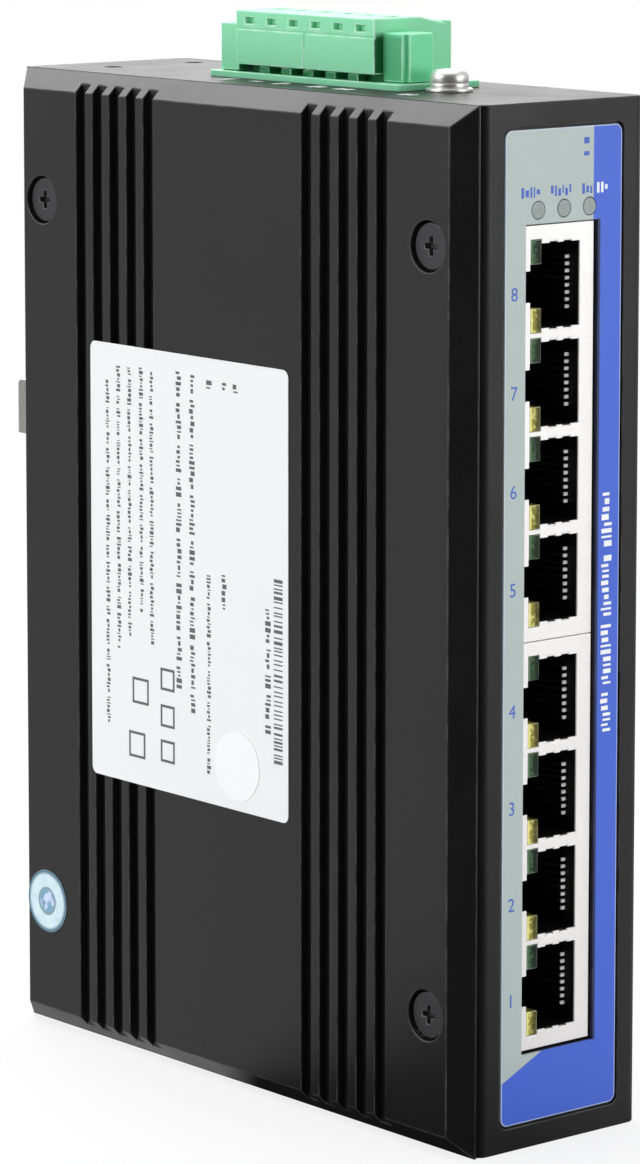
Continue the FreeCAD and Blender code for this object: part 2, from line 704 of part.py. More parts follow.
def side_cover():
    """Ribbed cover plate, bevelled all round, with a rim that sits in the body's mouth."""
    length = "(housing_depth - 2 * cover_inset)"
    body = doc.addObject("PartDesign::Body", "cover_plate")
    plate = body.newObject("PartDesign::AdditiveBox", "cover_plate_block")
    bind(plate, Length="cover_thickness", Width=length, Height="housing_height")
    doc.recompute()

    def on_outer_face(edge):
        return edge.BoundBox.XMax < 1e-6

    bevel = body.newObject("PartDesign::Chamfer", "cover_plate_bevel")
    bevel.Base = (plate, edge_names(plate, on_outer_face))
    bind(bevel, Size="cover_chamfer")
    doc.recompute()
    place(body, ("cover_x", "front_y + cover_inset", "0"))

    rim_gap = "(wall + cover_lip_play)"
    rim = box(
        "cover_rim",
        ("cover_lip", f"housing_depth - 2 * {rim_gap}", f"housing_height - 2 * {rim_gap}"),
        ("seam_x", f"front_y + {rim_gap}", rim_gap),
    )
    inside = f"({rim_gap} + cover_lip_width)"
    rim_hollow = box(
        "cover_rim_hollow",
        ("2 * cover_lip", f"housing_depth - 2 * {inside}", f"housing_height - 2 * {inside}"),
        ("seam_x", f"front_y + {inside}", inside),
    )
    rim_cuts = [rim_hollow]
    for index, (y, z) in enumerate(COVER_SCREW_SPOTS):
        room = "(lug_size + 2 * cover_lip)"
        size = ("2 * cover_lip", "2 * cover_screw_inset", room)
        corner = ("seam_x", f"{y} - cover_screw_inset", f"{z} - {room} / 2")
        rim_cuts.append(box(f"cover_rim_room_{index + 1}", size, corner))
    solid = fuse("cover_blank", [body, cut("cover_rim_open", rim, rim_cuts)])

    groove = box(
        "cover_groove",
        ("groove_depth + cover_thickness", "groove_width", "2 * housing_height"),
        ("-cover_thickness", "-groove_width / 2", "-housing_height / 2"),
    )
    half_set = f"{(GROOVES_PER_SET - 1) / 2} * groove_pitch"
    step = ("0", "groove_pitch", "0")
    tools = []
    for side, middle in (("front", "front_y + groove_inset"), ("back", "back_y - groove_inset")):
        first = ("cover_x", f"{middle} - {half_set}", "0")
        tools.append(row_of(f"cover_{side}_grooves", groove, GROOVES_PER_SET, first, step))
    for index, (y, z) in enumerate(COVER_SCREW_SPOTS):
        seat_depth = "cover_screw_sink + cover_screw_head_height"
        spot = ("cover_x - cover_thickness", y, z)
        width = "cover_screw_head + 2 * head_play"
        depth = f"cover_thickness + {seat_depth}"
        tools.append(rod(f"cover_counterbore_{index + 1}", width, depth, spot, "+X"))
        width = "thread_diameter + 2 * screw_play"
        tools.append(rod(f"cover_hole_{index + 1}", width, "4 * cover_thickness", spot, "+X"))
    node("side_cover", cut("side_cover", solid, tools))


def cover_screws():
    """Four flat-headed screws that hold the cover, sunk in their counterbores."""
    screw = flat_head_screw("cover_screw", "thread_length")
    x = "cover_x + cover_screw_sink + cover_screw_head_height"
    spots = enumerate(COVER_SCREW_SPOTS, start=1)
    copies = [copy(f"cover_screw_{index}", screw, (x, y, z), "-X") for index, (y, z) in spots]
    node("cover_screws", group("cover_screws", copies))


def front_film():
    """Printed film in its shallow recess, with a window for the ports and the lights."""
    film = rounded_block(
        "film_blank",
        ("film_width", "film_thickness", "film_height"),
        (
            "body_middle_x - film_width / 2",
            "front_y + film_sink",
            "(housing_height - film_height) / 2",
        ),
        VECTOR(0, 1, 0),
        "film_corner",
    )
    tools = [port_window("film_window")]
    for index, spot in enumerate(status_light_spots("front_y - wall")):
        width = "status_light_diameter + 2 * film_light_play"
        tools.append(rod(f"film_light_hole_{index + 1}", width, "2 * wall", spot, "+Y"))
    node("front_film", cut("front_film", film, tools))


# ---------------------------------------------------------------- ports


def port_mouth(name, depth):
    """The stepped opening of one port about its centre, from the gang's face inwards."""
    steps = [
        ("port_x", "port_width", "port_height"),
        ("port_x - latch_room_width", "latch_room_width + port_width / 2", "latch_room_height"),
        (
            "port_x - latch_room_width - latch_slot_width",
            "latch_slot_width + port_width / 2",
            "latch_slot_height",
        ),
    ]
    blocks = []
    for index, (x, width, height) in enumerate(steps):
        corner = (x, "gang_y - wall", f"-{height} / 2")
        blocks.append(box(f"{name}_step_{index + 1}", (width, depth, height), corner))
    return fuse(name, blocks)


def spring_notches(name):
    """Two notches above and two below one port's mouth, about the port's centre."""
    notch = box(
        f"{name}_form",
        ("notch_width", "2 * wall", "port_height + 2 * notch_depth"),
        ("-notch_width / 2", "gang_y - wall", "-port_height / 2 - notch_depth"),
    )
    first = ("port_x + port_width / 2 - notch_pitch / 2", "0", "0")
    return row_of(name, notch, 2, first, ("notch_pitch", "0", "0"))


def port_lights(name, grow, length, at_y):
    """Blocks at the places of one port's two lights, about the port's centre."""
    blocks = []
    for side, sign in (("top", 1), ("bottom", -1)):
        size = (f"light_width + 2 * ({grow})", length, f"light_height + 2 * ({grow})")
        corner = (
            f"port_x - light_width - ({grow})",
            at_y,
            f"{sign} * light_offset - light_height / 2 - ({grow})",
        )
        blocks.append(box(f"{name}_{side}", size, corner))
    return blocks


def contact_wire():
    """One bent contact wire, from the port's side wall to its back wall."""
    wall_x = "port_x + port_width"
    front = "gang_y + contact_setback"
    back = "gang_y + port_depth"
    bend_x = f"{wall_x} - contact_reach"
    end_x = f"{wall_x} - contact_lift"
    return prism(
        "contact_wire",
        "XY_Plane",
        [
            (wall_x, front),
            (bend_x, front),
            (end_x, f"{back} - contact_foot"),
            (end_x, back),
            (f"{end_x} + contact_thickness", back),
            (f"{end_x} + contact_thickness", f"{back} - contact_foot"),
            (f"{bend_x} + contact_thickness", f"{front} + contact_thickness"),
            (wall_x, f"{front} + contact_thickness"),
        ],
        "contact_width",
        offset="-contact_width / 2",
    )


def port_gang(side, base):
    """Shield, moulding, contacts and lights of one gang of four ports."""
    step = ("0", "0", "port_pitch")
    first = ("0", "0", f"{base} + first_port")

    mouth = port_mouth(f"{side}_mouth", "port_depth + wall")
    shield_mouth = fuse(
        f"{side}_shield_mouth",
        [port_mouth(f"{side}_plain_mouth", "2 * wall"), spring_notches(f"{side}_notches")],
    )
    pockets = group(
        f"{side}_pockets",
        port_lights(f"{side}_pocket", "light_fit", "light_length + wall", "gang_y - wall"),
    )
    mouths = row_of(f"{side}_mouths", mouth, PORTS_PER_GANG, first, step)
    shield_mouths = row_of(f"{side}_shield_mouths", shield_mouth, PORTS_PER_GANG, first, step)
    all_pockets = row_of(f"{side}_all_pockets", pockets, PORTS_PER_GANG, first, step)

    can = box(
        f"{side}_can",
        ("gang_width", "gang_depth", "gang_length"),
        ("gang_x", "gang_y", base),
    )
    inside = "2 * shield_thickness"
    can_hollow = box(
        f"{side}_can_hollow",
        (f"gang_width - {inside}", "gang_depth", f"gang_length - {inside}"),
        (
            "gang_x + shield_thickness",
            "gang_y + shield_thickness",
            f"{base} + shield_thickness",
        ),
    )
    shield = cut(f"{side}_port_shield", can, [can_hollow, shield_mouths, all_pockets])
    node(f"{side}_port_shield", shield)

    skin = "(shield_thickness + shield_fit)"
    block = box(
        f"{side}_block",
        (f"gang_width - 2 * {skin}", f"gang_depth - {skin}", f"gang_length - 2 * {skin}"),
        (f"gang_x + {skin}", f"gang_y + {skin}", f"{base} + {skin}"),
    )
    moulding = cut(f"{side}_port_block", block, [mouths, all_pockets])
    node(f"{side}_port_block", moulding)

    first_wire = ("0", "0", f"-{(CONTACTS_PER_PORT - 1) / 2} * contact_pitch")
    wire_step = ("0", "0", "contact_pitch")
    comb = row_of(f"{side}_comb", contact_wires, CONTACTS_PER_PORT, first_wire, wire_step)
    contacts = row_of(f"{side}_port_contacts", comb, PORTS_PER_GANG, first, step)
    node(f"{side}_port_contacts", contacts)

    upper_light, lower_light = port_lights(f"{side}_light", "0", "light_length", "gang_y")
    greens = row_of(f"{side}_green_lights", upper_light, PORTS_PER_GANG, first, step)
    node(f"{side}_green_lights", greens)
    yellows = row_of(f"{side}_yellow_lights", lower_light, PORTS_PER_GANG, first, step)
    node(f"{side}_yellow_lights", yellows)


def status_lights():
    """Three lights, one above the other off the board, in one black holder."""
    tips = []
    for index, spot in enumerate(status_light_spots("front_y")):
        length = "status_light_length"
        tips.append(rod(f"status_tip_{index + 1}", "status_light_diameter", length, spot, "+Y"))
    node("status_lights", group("status_lights", tips))

    low_x = "status_x - holder_height / 2"
    block = box(
        "holder_block",
        (f"board_x - ({low_x})", "holder_depth", "holder_height"),
        (
            low_x,
            "front_y + status_light_length - holder_overlap",
            "status_z - holder_height / 2",
        ),
    )
    sockets = []
    for index, spot in enumerate(status_light_spots("front_y")):
        length = "status_light_length"
        sockets.append(rod(f"holder_socket_{index + 1}", "status_light_diameter", length, spot, "+Y"))
    node("light_holder", cut("light_holder", block, sockets))


# ---------------------------------------------------------------- circuit board


def circuit_board():
    """Upright board on four posts, with its screws."""
    board = box(
        "board_blank",
        ("board_thickness", "board_back_y - board_y", "board_top_z - board_z"),
        ("board_x", "board_y", "board_z"),
    )
    tools = []
    for index, (y, z) in enumerate(BOARD_SCREW_SPOTS):
        spot = ("board_x - wall", y, z)
        width = "thread_diameter + 2 * screw_play"
        tools.append(rod(f"board_hole_{index + 1}", width, "3 * wall", spot, "+X"))
    pin_hole = rod(
        "board_pin_hole",
        "pin_hole",
        "3 * wall",
        ("0", "0", "0"),
        "+X",
    )
    first = ("board_x - wall", "first_pole", "header_z - pin_drop")
    tools.append(row_of("board_pin_holes", pin_hole, POLES, first, ("0", "pole_pitch", "0")))
    node("circuit_board", cut("circuit_board", board, tools))

    screw = pan_head_screw("board_screw", "board_thickness + post_length")
    spots = enumerate(BOARD_SCREW_SPOTS, start=1)
    copies = [copy(f"board_screw_{index}", screw, ("board_x", y, z), "-X") for index, (y, z) in spots]
    node("board_screws", group("board_screws", copies))


def on_board(name, kind, y, z):
    """A block that stands on the board's left side, with its middle at y and z."""
    size = (f"{kind}_height", f"{kind}_width", f"{kind}_length")
    corner = (f"board_x - {kind}_height", f"{y} - {kind}_width / 2", f"{z} - {kind}_length / 2")
    return box(name, size, corner)


def board_parts():
    """The main parts that stand on the board."""
    singles = (
        ("switch_chip", "chip", "board_z + chip_rise"),
        ("power_inductor", "inductor", "board_top_z - inductor_drop"),
        ("alarm_relay", "relay", "board_z + relay_rise"),
        ("clock_crystal", "crystal", "board_z + crystal_rise"),
    )
    for label, kind, z in singles:
        node(label, on_board(kind, kind, f"board_back_y - {kind}_inset", z))

    transformers = []
    y = "gang_y + gang_depth + transformer_gap + transformer_width / 2"
    for base in GANG_BASES:
        for pair in range(PORTS_PER_GANG // 2):
            z = f"{base} + first_port + ({2 * pair} + 0.5) * port_pitch"
            name = f"transformer_{len(transformers) + 1}"
            transformers.append(on_board(name, "transformer", y, z))
    node("line_transformers", group("line_transformers", transformers))

    capacitor = rod(
        "capacitor", "capacitor_diameter", "capacitor_height", ("0", "0", "0"), "-X"
    )
    first = ("board_x", "board_back_y - capacitor_inset", "board_top_z - capacitor_drop")
    step = ("0", "0", "capacitor_pitch")
    node("storage_capacitors", row_of("storage_capacitors", capacitor, 2, first, step))


# ---------------------------------------------------------------- terminal block


def header_housing():
    """Header moulding: rim on the top face, ribs under the plug, and the box that takes it."""
    rim = rounded_block(
        "header_rim",
        (
            "plug_width + 2 * flange_margin",
            "plug_length + 2 * flange_overhang",
            "flange_thickness",
        ),
        (
            "plug_x - flange_margin",
            "plug_y - flange_overhang",
            "housing_height",
        ),
        VECTOR(0, 0, 1),
        "flange_corner",
    )
    shell = box(
        "header_box",
        ("header_width", "header_length", "header_depth + flange_thickness / 2"),
        ("header_x", "header_y", "header_z"),
    )
    rib = box(
        "header_rib",
        ("tongue_inset - rib_inset", "rib_length", "plug_bottom - seat_gap"),
        ("0", "-rib_length / 2", "0"),
    )
    first = ("plug_x + rib_inset", "first_pole + pole_pitch / 2", "housing_height")
    ribs = row_of("header_ribs", rib, POLES - 1, first, ("0", "pole_pitch", "0"))
    blank = fuse("header_blank", [rim, shell, ribs])
    cavity_z = "(tongue_z - seat_gap)"
    cavity = box(
        "header_hollow",
        (
            "tongue_width + 2 * plug_play",
            "tongue_length + 2 * plug_play",
            f"plug_z - {cavity_z}",
        ),
        (
            "tongue_x - plug_play",
            "plug_middle_y - tongue_length / 2 - plug_play",
            cavity_z,
        ),
    )
    pin_hole = box(
        "header_pin_hole",
        ("pin_size", "pin_size", "2 * header_depth"),
        ("-pin_size / 2", "-pin_size / 2", "-header_depth"),
    )
    first = ("pin_x", "first_pole", "header_z")
    holes = row_of("header_pin_holes", pin_hole, POLES, first, ("0", "pole_pitch", "0"))
    node("header_housing", cut("header_housing", blank, [cavity, holes]))


def header_pins():
    """Six square pins, bent over to the board."""
    reach = "(board_back_x + pin_tail - pin_x)"
    low = "header_z - pin_drop - pin_size / 2"
    pin = prism(
        "header_pin",
        "XZ_Plane",
        [
            ("-pin_size / 2", low),
            (reach, low),
            (reach, f"{low} + pin_size"),
            ("pin_size / 2", f"{low} + pin_size"),
            ("pin_size / 2", "housing_height - pin_height"),
            ("-pin_size / 2", "housing_height - pin_height"),
        ],
        "pin_size",
        offset="-pin_size / 2",
    )
    node("header_pins", per_pole("header_pins", pin))


def plug_ears():
    """The ears at the plug's two ends, each with a notched outer corner."""
    ears = []
    ends = (
        ("front", "plug_y - ear_length", "0"),
        ("back", "plug_y + plug_length", "ear_length - ear_notch"),
    )
    for end, start, notch_start in ends:
        low = "(housing_height + flange_thickness + seat_gap)"
        size = ("ear_width", "ear_length", "ear_height - seat_gap")
        ear = box(f"plug_{end}_ear", size, ("plug_x + ear_inset", start, low))
        size = ("ear_notch", "ear_notch", "ear_height")
        corner = ("plug_x + ear_inset", f"{start} + {notch_start}", low)
        ears.append(cut(f"plug_{end}_ear_cut", ear, [box(f"plug_{end}_notch", size, corner)]))
    return ears


def per_pole(name, form, z="0"):
    """Copies of a form on the axes of all the poles."""
    return row_of(name, form, POLES, ("pin_x", "first_pole", z), ("0", "pole_pitch", "0"))


def about_axis(name, width, length, bottom, top, play="0"):
    """A block centred on a pole's axis, between two levels, grown by a play."""
    size = (f"{width} + 2 * {play}", f"{length} + 2 * {play}", f"{top} - ({bottom}) + 2 * {play}")
    corner = (f"-{width} / 2 - {play}", f"-{length} / 2 - {play}", f"{bottom} - {play}")
    return box(name, size, corner)


def plug_housing():
    """Plug moulding: profiled block with a tongue, ears, test slots, wire and screw holes."""
    left = "plug_x"
    right = "(plug_x + plug_width)"
    lip_top = "plug_top - plug_dip + plug_lip_rise"
    body = prism(
        "plug_block",
        "XZ_Plane",
        [
            (left, "plug_z"),
            (right, "plug_z"),
            (right, lip_top),
            (f"{right} - plug_lip", lip_top),
            (f"{right} - plug_lip", "plug_top - plug_dip"),
            (f"{left} + plug_flat", "plug_top"),
            (left, "plug_top"),
        ],
        "plug_length",
        offset="-(plug_y + plug_length)",
    )
    tongue = box(
        "plug_tongue",
        ("tongue_width", "tongue_length", "tongue_depth + under_depth"),
        ("tongue_x", "plug_middle_y - tongue_length / 2", "tongue_z"),
    )
    blank = fuse("plug_blank", [body, tongue] + plug_ears())

    under = box(
        "plug_under",
        (
            "plug_width - tongue_inset - tongue_width - plug_skirt - plug_play",
            "plug_length - 2 * plug_skirt",
            "2 * under_depth",
        ),
        ("tongue_x + tongue_width + plug_play", "plug_y + plug_skirt", "plug_z - under_depth"),
    )
    slot = box(
        "plug_test_slot",
        ("2 * test_slot_depth", "test_slot_width", "test_slot_height"),
        ("-test_slot_depth", "-test_slot_width / 2", "-test_slot_height / 2"),
    )
    first = ("plug_x", "first_pole", "plug_top - test_slot_drop")
    slots = row_of("plug_test_slots", slot, POLES, first, ("0", "pole_pitch", "0"))
    level_line = box(
        "plug_level_line",
        ("panel_groove", "2 * plug_length", "panel_groove"),
        ("plug_x", "plug_y - plug_length / 2", "plug_top - panel_groove_drop"),
    )
    upright_line = box(
        "plug_upright_line",
        ("panel_groove", "panel_groove", "plug_height - panel_groove_drop"),
        ("plug_x", "plug_middle_y - panel_groove / 2", "plug_z"),
    )
    tools = [under, slots, level_line, upright_line]

    forms = {
        "socket_room": about_axis(
            "plug_socket_room", "socket_size", "socket_size", "tongue_z", "clamp_z", "clamp_fit"
        ),
        "clamp_room": about_axis(
            "plug_clamp_room",
            "clamp_width",
            "clamp_length",
            "clamp_z",
            "(clamp_z + clamp_height)",
            "clamp_fit",
        ),
        "wire_entry": about_axis(
            "plug_wire_entry", "wire_hole", "wire_hole", "clamp_z", "(clamp_z + plug_height)"
        ),
        "screw_hole": rod(
            "plug_screw_hole",
            "clamp_screw_diameter + 2 * clamp_fit",
            "plug_x + plug_width - pin_x",
            ("0", "0", "clamp_z + clamp_height / 2"),
            "+X",
        ),
    }
    tools += [per_pole(f"plug_{kind}s", form) for kind, form in forms.items()]
    node("plug_housing", cut("plug_housing", blank, tools))


def plug_inside():
    """Socket contacts, wire clamps and clamp screws of the plug."""
    sleeve = about_axis(
        "socket_sleeve", "socket_size", "socket_size", "(tongue_z + socket_inset)", "clamp_z"
    )
    bore = "(pin_size + 2 * pin_play)"
    hollow = about_axis("socket_bore", bore, bore, "tongue_z", "(tongue_z + socket_depth)")
    node("plug_contacts", per_pole("plug_contacts", cut("socket_contact", sleeve, [hollow])))

    clamp_top = "(clamp_z + clamp_height)"
    axis_z = "(clamp_z + clamp_height / 2)"
    frame = about_axis("clamp_frame", "clamp_width", "clamp_length", "clamp_z", clamp_top)
    wire_way = about_axis(
        "clamp_wire_way",
        "(clamp_width - 2 * clamp_wall)",
        "(clamp_length - 2 * clamp_wall)",
        "(clamp_z + clamp_wall)",
        "(clamp_z + 2 * clamp_height)",
    )
    thread = rod("clamp_thread", "clamp_screw_shank", "clamp_width", ("0", "0", axis_z), "+X")
    node("plug_clamps", per_pole("plug_clamps", cut("wire_clamp", frame, [wire_way, thread])))

    face = "(plug_x + plug_width - pin_x - clamp_screw_sink)"
    spot = (face, "0", axis_z)
    head_length = f"{face} - clamp_width / 2 - clamp_fit"
    head = rod("clamp_screw_head", "clamp_screw_diameter", head_length, spot, "-X")
    stem_length = f"{face} - clamp_screw_tip"
    stem = rod("clamp_screw_stem", "clamp_screw_shank", stem_length, spot, "-X")
    blade_slot = box(
        "clamp_screw_slot",
        ("2 * blade_slot", "clamp_screw_diameter", "blade_slot"),
        (f"{face} - blade_slot", "-clamp_screw_diameter / 2", f"{axis_z} - blade_slot / 2"),
    )
    screw = cut("clamp_screw", fuse("clamp_screw_blank", [head, stem]), [blade_slot])
    node("plug_clamp_screws", per_pole("plug_clamp_screws", screw))


# ---------------------------------------------------------------- ground screw


def washer(name, outer, thickness, z, gap=None):
    """A flat ring about the ground screw, split at one side where a gap is given."""
    ring = rod(name + "_disc", outer, thickness, ("ground_x", "ground_y", z))
    hole_width = "thread_diameter + 2 * screw_play"
    hole = rod(
        name + "_hole", hole_width, f"3 * {thickness}", ("ground_x", "ground_y", f"{z} - {thickness}")
    )
    tools = [hole]
    if gap:
        size = (f"{outer}", gap, f"3 * {thickness}")
        corner = ("ground_x", f"ground_y - {gap} / 2", f"{z} - {thickness}")
        tools.append(box(name + "_split", size, corner))
    return cut(name, ring, tools)


def ground_terminal():
    """Pan-headed ground screw with its spring washer and flat washer."""
    base = "housing_height"
    node("flat_washer", washer("flat_washer", "flat_washer_diameter", "flat_washer_thickness", base))
    base = "housing_height + flat_washer_thickness"
    spring = washer(
        "spring_washer",
        "spring_washer_diameter",
        "spring_washer_thickness",
        base,
        "spring_washer_split",
    )
    node("spring_washer", spring)
    base = "housing_height + flat_washer_thickness + spring_washer_thickness"
    screw = pan_head_screw("ground_screw_form", "thread_length")
    node("ground_screw", copy("ground_screw", screw, ("ground_x", "ground_y", base)))


# ---------------------------------------------------------------- DIN rail clip


def din_bracket():
    """Clip bracket: base plate, fixed upper hook and the channel of the sliding latch."""
    profile = prism(
        "bracket_profile",
        "YZ_Plane",
        [
            ("back_y", "bracket_bottom"),
            ("back_y + rail_seat", "bracket_bottom"),
            ("back_y + rail_seat", "rail_top_z + rail_play"),
            ("back_y + hook_gap_y", "rail_top_z + rail_play"),
            ("back_y + hook_gap_y", "rail_top_z - hook_overlap"),
            ("back_y + hook_y", "rail_top_z - hook_overlap"),
            ("back_y + hook_y", "bracket_top_z - hook_bevel"),
            ("back_y + hook_y - hook_bevel", "bracket_top_z"),
            ("back_y", "bracket_top_z"),
        ],
        "bracket_width",
        offset="body_middle_x - bracket_width / 2",
    )
    channel_width = "(latch_width + 2 * latch_play)"
    channel_bottom = "(bracket_bottom - wall)"
    channel_height = f"latch_top + channel_room - {channel_bottom}"
    channel = box(
        "bracket_channel",
        (channel_width, "channel_depth", channel_height),
        (
            f"body_middle_x - {channel_width} / 2",
            "back_y + bracket_plate",
            channel_bottom,
        ),
    )
    mouth_width = f"({channel_width} - 2 * channel_lip)"
    channel_mouth = box(
        "bracket_channel_mouth",
        (mouth_width, "rail_seat", channel_height),
        (
            f"body_middle_x - {mouth_width} / 2",
            "back_y + bracket_plate",
            channel_bottom,
        ),
    )
    spring_room = "(spring_diameter + 2 * spring_play)"
    spring_slot = box(
        "bracket_spring_slot",
        (spring_room, "3 * bracket_plate", "spring_length + spring_play"),
        (f"body_middle_x - {spring_room} / 2", "back_y - bracket_plate", "spring_z"),
    )
    tab = box(
        "bracket_tab",
        ("spring_diameter", "rail_seat - tab_inset", "tab_height"),
        ("body_middle_x - spring_diameter / 2", "back_y", "tab_z"),
    )
    tools = [channel, channel_mouth, spring_slot]
    for index, (x, z) in enumerate(BRACKET_SCREW_SPOTS):
        spot = (x, "back_y - wall", z)
        width = "thread_diameter + 2 * screw_play"
        tools.append(rod(f"bracket_hole_{index + 1}", width, "5 * bracket_plate", spot, "+Y"))
        spot = (x, "back_y + rail_seat - pan_head_height - screw_play", z)
        width = "pan_head + 2 * bracket_head_play"
        tools.append(rod(f"bracket_counterbore_{index + 1}", width, "rail_seat", spot, "+Y"))
    open_bracket = cut("bracket_open", profile, tools)
    node("din_bracket", fuse("din_bracket", [open_bracket, tab]))

    length = "rail_seat - pan_head_height - screw_play + wall + bracket_screw_tip"
    screw = pan_head_screw("bracket_screw", length)
    y = "back_y + rail_seat - pan_head_height - screw_play"
    spots = enumerate(BRACKET_SCREW_SPOTS, start=1)
    copies = [copy(f"bracket_screw_{index}", screw, (x, y, z), "+Y") for index, (x, z) in spots]
    node("bracket_screws", group("bracket_screws", copies))


def din_latch():
    """Sliding latch: plate with a spring window and a pull slot, and a bevelled nose."""
    inner_y = "(back_y + bracket_plate + latch_play)"
    outer_y = f"({inner_y} + latch_thickness)"
    window_low = "(tab_z - tab_inset)"
    low = "(bracket_bottom - pull_tab)"
    plate = box(
        "latch_plate",
        ("latch_width", "latch_thickness", f"latch_top - {low}"),
        ("body_middle_x - latch_width / 2", inner_y, low),
    )
    nose_width = "(latch_width - 2 * channel_lip - 2 * latch_play)"
    nose_low = "(rail_bottom_z - rail_play - nose_height)"
    nose = prism(
        "latch_nose",
        "YZ_Plane",
        [
            (inner_y, nose_low),
            ("back_y + hook_y - nose_bevel", nose_low),
            ("back_y + hook_y", f"{nose_low} + nose_bevel"),
            ("back_y + hook_y", "rail_bottom_z + hook_overlap - nose_bevel"),
            ("back_y + hook_gap_y + nose_tip", "rail_bottom_z + hook_overlap"),
            ("back_y + hook_gap_y", "rail_bottom_z + hook_overlap"),
            ("back_y + hook_gap_y", "rail_bottom_z - rail_play"),
            (inner_y, "rail_bottom_z - rail_play"),
        ],
        nose_width,
        offset=f"body_middle_x - {nose_width} / 2",
    )
    blank = fuse("latch_blank", [plate, nose])
    room = "(spring_diameter + 2 * spring_play)"
    window = box(
        "latch_window",
        (room, "4 * latch_thickness", f"spring_top - {window_low}"),
        (f"body_middle_x - {room} / 2", f"{inner_y} - latch_thickness", window_low),
    )
    slot = rounded_block(
        "latch_pull_slot",
        ("pull_slot_width", "4 * latch_thickness", "pull_slot_height"),
        (
            "body_middle_x - pull_slot_width / 2",
            f"{inner_y} - latch_thickness",
            f"{low} + pull_slot_rise",
        ),
        VECTOR(0, 1, 0),
        "pull_slot_corner",
    )
    node("din_latch", cut("din_latch", blank, [window, slot]))


def latch_spring():
    """Coil spring between the bracket's tab and the latch."""
    turns = number("spring_turns")
    wire = number("spring_wire")
    radius = (number("spring_diameter") - wire) / 2
    height = number("spring_length") - wire
    helix = Part.makeHelix(height / turns, height, radius)
    section = Part.Wire(Part.makeCircle(wire / 2, VECTOR(radius, 0, 0), VECTOR(0, 1, 0)))
    coil = Part.Wire(helix.Edges).makePipeShell([section], True, True)
    spring = doc.addObject("Part::Feature", "latch_spring")
    spring.Shape = coil
    middle_y = "back_y + (rail_seat - tab_inset) / 2"
    place(spring, ("body_middle_x", middle_y, "spring_z + spring_wire / 2"))
    node("latch_spring", spring)


# ---------------------------------------------------------------- labels


def labels():
    """Rating label, clear dot and round seal on the side cover."""
    rating = rounded_block(
        "rating_sheet",
        ("label_thickness", "label_width", "label_height"),
        ("cover_x - label_thickness", "label_y", "label_bottom"),
        VECTOR(1, 0, 0),
        "label_corner",
    )
    node("rating_label", rating)
    spot = (
        "cover_x - label_thickness",
        "label_y + dot_inset",
        "label_bottom + dot_rise",
    )
    node("clear_dot", rod("clear_dot", "dot_diameter", "label_thickness", spot, "-X"))
    seal_y = "back_y - cover_inset - cover_chamfer - seal_diameter / 2"
    spot = ("cover_x", seal_y, "cover_screw_low_z")
    node("seal_sticker", rod("seal_sticker", "seal_diameter", "label_thickness", spot, "-X"))


# ---------------------------------------------------------------- assembly

body_shell()
side_cover()
cover_screws()
front_film()
contact_wires = contact_wire()
for side, base in zip(("lower", "upper"), GANG_BASES):
    port_gang(side, base)
status_lights()
circuit_board()
board_parts()
header_housing()
header_pins()
plug_housing()
plug_inside()
ground_terminal()
din_bracket()
din_latch()
latch_spring()
labels()

doc.recompute()

faults = []
for thing in doc.Objects:
    if "Invalid" in thing.State or "Error" in thing.State:
        faults.append(f"{thing.Label} did not compute")
for thing in nodes:
    if thing.Shape.isNull() or not thing.Shape.isValid() or not thing.Shape.Solids:
        faults.append(f"{thing.Label} has no valid solid")
if faults:
    raise RuntimeError("; ".join(faults))

os.makedirs("parts", exist_ok=True)
for thing in nodes:
    thing.Shape.exportStep(f"parts/{thing.Label}.step")
    print(f"{thing.Label}: {len(thing.Shape.Solids)} solids, {thing.Shape.Volume:.1f} mm3")
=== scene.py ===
# %% [markdown]
# # A DIN rail Ethernet switch with eight ports
#
# This lesson dresses a finished CAD model of a small industrial switch: a black metal
# case with a ribbed side cover, eight network sockets in a column, a green plug-in
# terminal block on top and a clip for a DIN rail on the back.
#
# The CAD model gives every part its size and place, and those never change here.
# Blender adds what CAD leaves out: broken edges, printed marks, paint, plastic, plating
# and paper, a studio to stand in and a camera.
#
# The first cell loads the CAD model. Its parts arrive as meshes in metres, freed of any
# parent; the pieces made from them are hung later on the bodies that move: the housing,
# the plug and the rail latch.

# %% Load the CAD model
import math
import random

import bmesh
import bpy
from mathutils import Matrix, Vector


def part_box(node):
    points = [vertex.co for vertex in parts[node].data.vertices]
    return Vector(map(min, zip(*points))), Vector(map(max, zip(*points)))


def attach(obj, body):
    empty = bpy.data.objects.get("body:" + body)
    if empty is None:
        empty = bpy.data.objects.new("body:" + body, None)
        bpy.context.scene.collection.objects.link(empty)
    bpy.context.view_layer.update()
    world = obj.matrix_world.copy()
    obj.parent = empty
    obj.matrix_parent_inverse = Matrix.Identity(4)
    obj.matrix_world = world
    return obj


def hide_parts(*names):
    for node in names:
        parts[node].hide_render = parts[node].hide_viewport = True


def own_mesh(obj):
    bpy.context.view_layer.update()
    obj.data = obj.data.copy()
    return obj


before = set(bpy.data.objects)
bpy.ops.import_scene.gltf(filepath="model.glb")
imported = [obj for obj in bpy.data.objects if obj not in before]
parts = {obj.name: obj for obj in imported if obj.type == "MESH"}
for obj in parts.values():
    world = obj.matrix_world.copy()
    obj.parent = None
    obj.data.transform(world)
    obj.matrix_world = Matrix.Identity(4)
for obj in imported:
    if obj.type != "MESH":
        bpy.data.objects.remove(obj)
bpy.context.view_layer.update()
MM = 0.001

# %% [markdown]
# ## Paint boxes for shader nodes
#
# Materials are networks of nodes. Writing one out by hand takes many lines, so small
# helpers do it: one adds a node and fills its sockets, and the others do sums, overlap
# masks, mix two colours and turn one range of values into another. A socket is filled
# with a number or linked to another node's output.
#
# Colours are easier to read as the hex codes of a paint chart. Blender wants linear
# light, so a helper converts them.

# %% Helpers for shader nodes


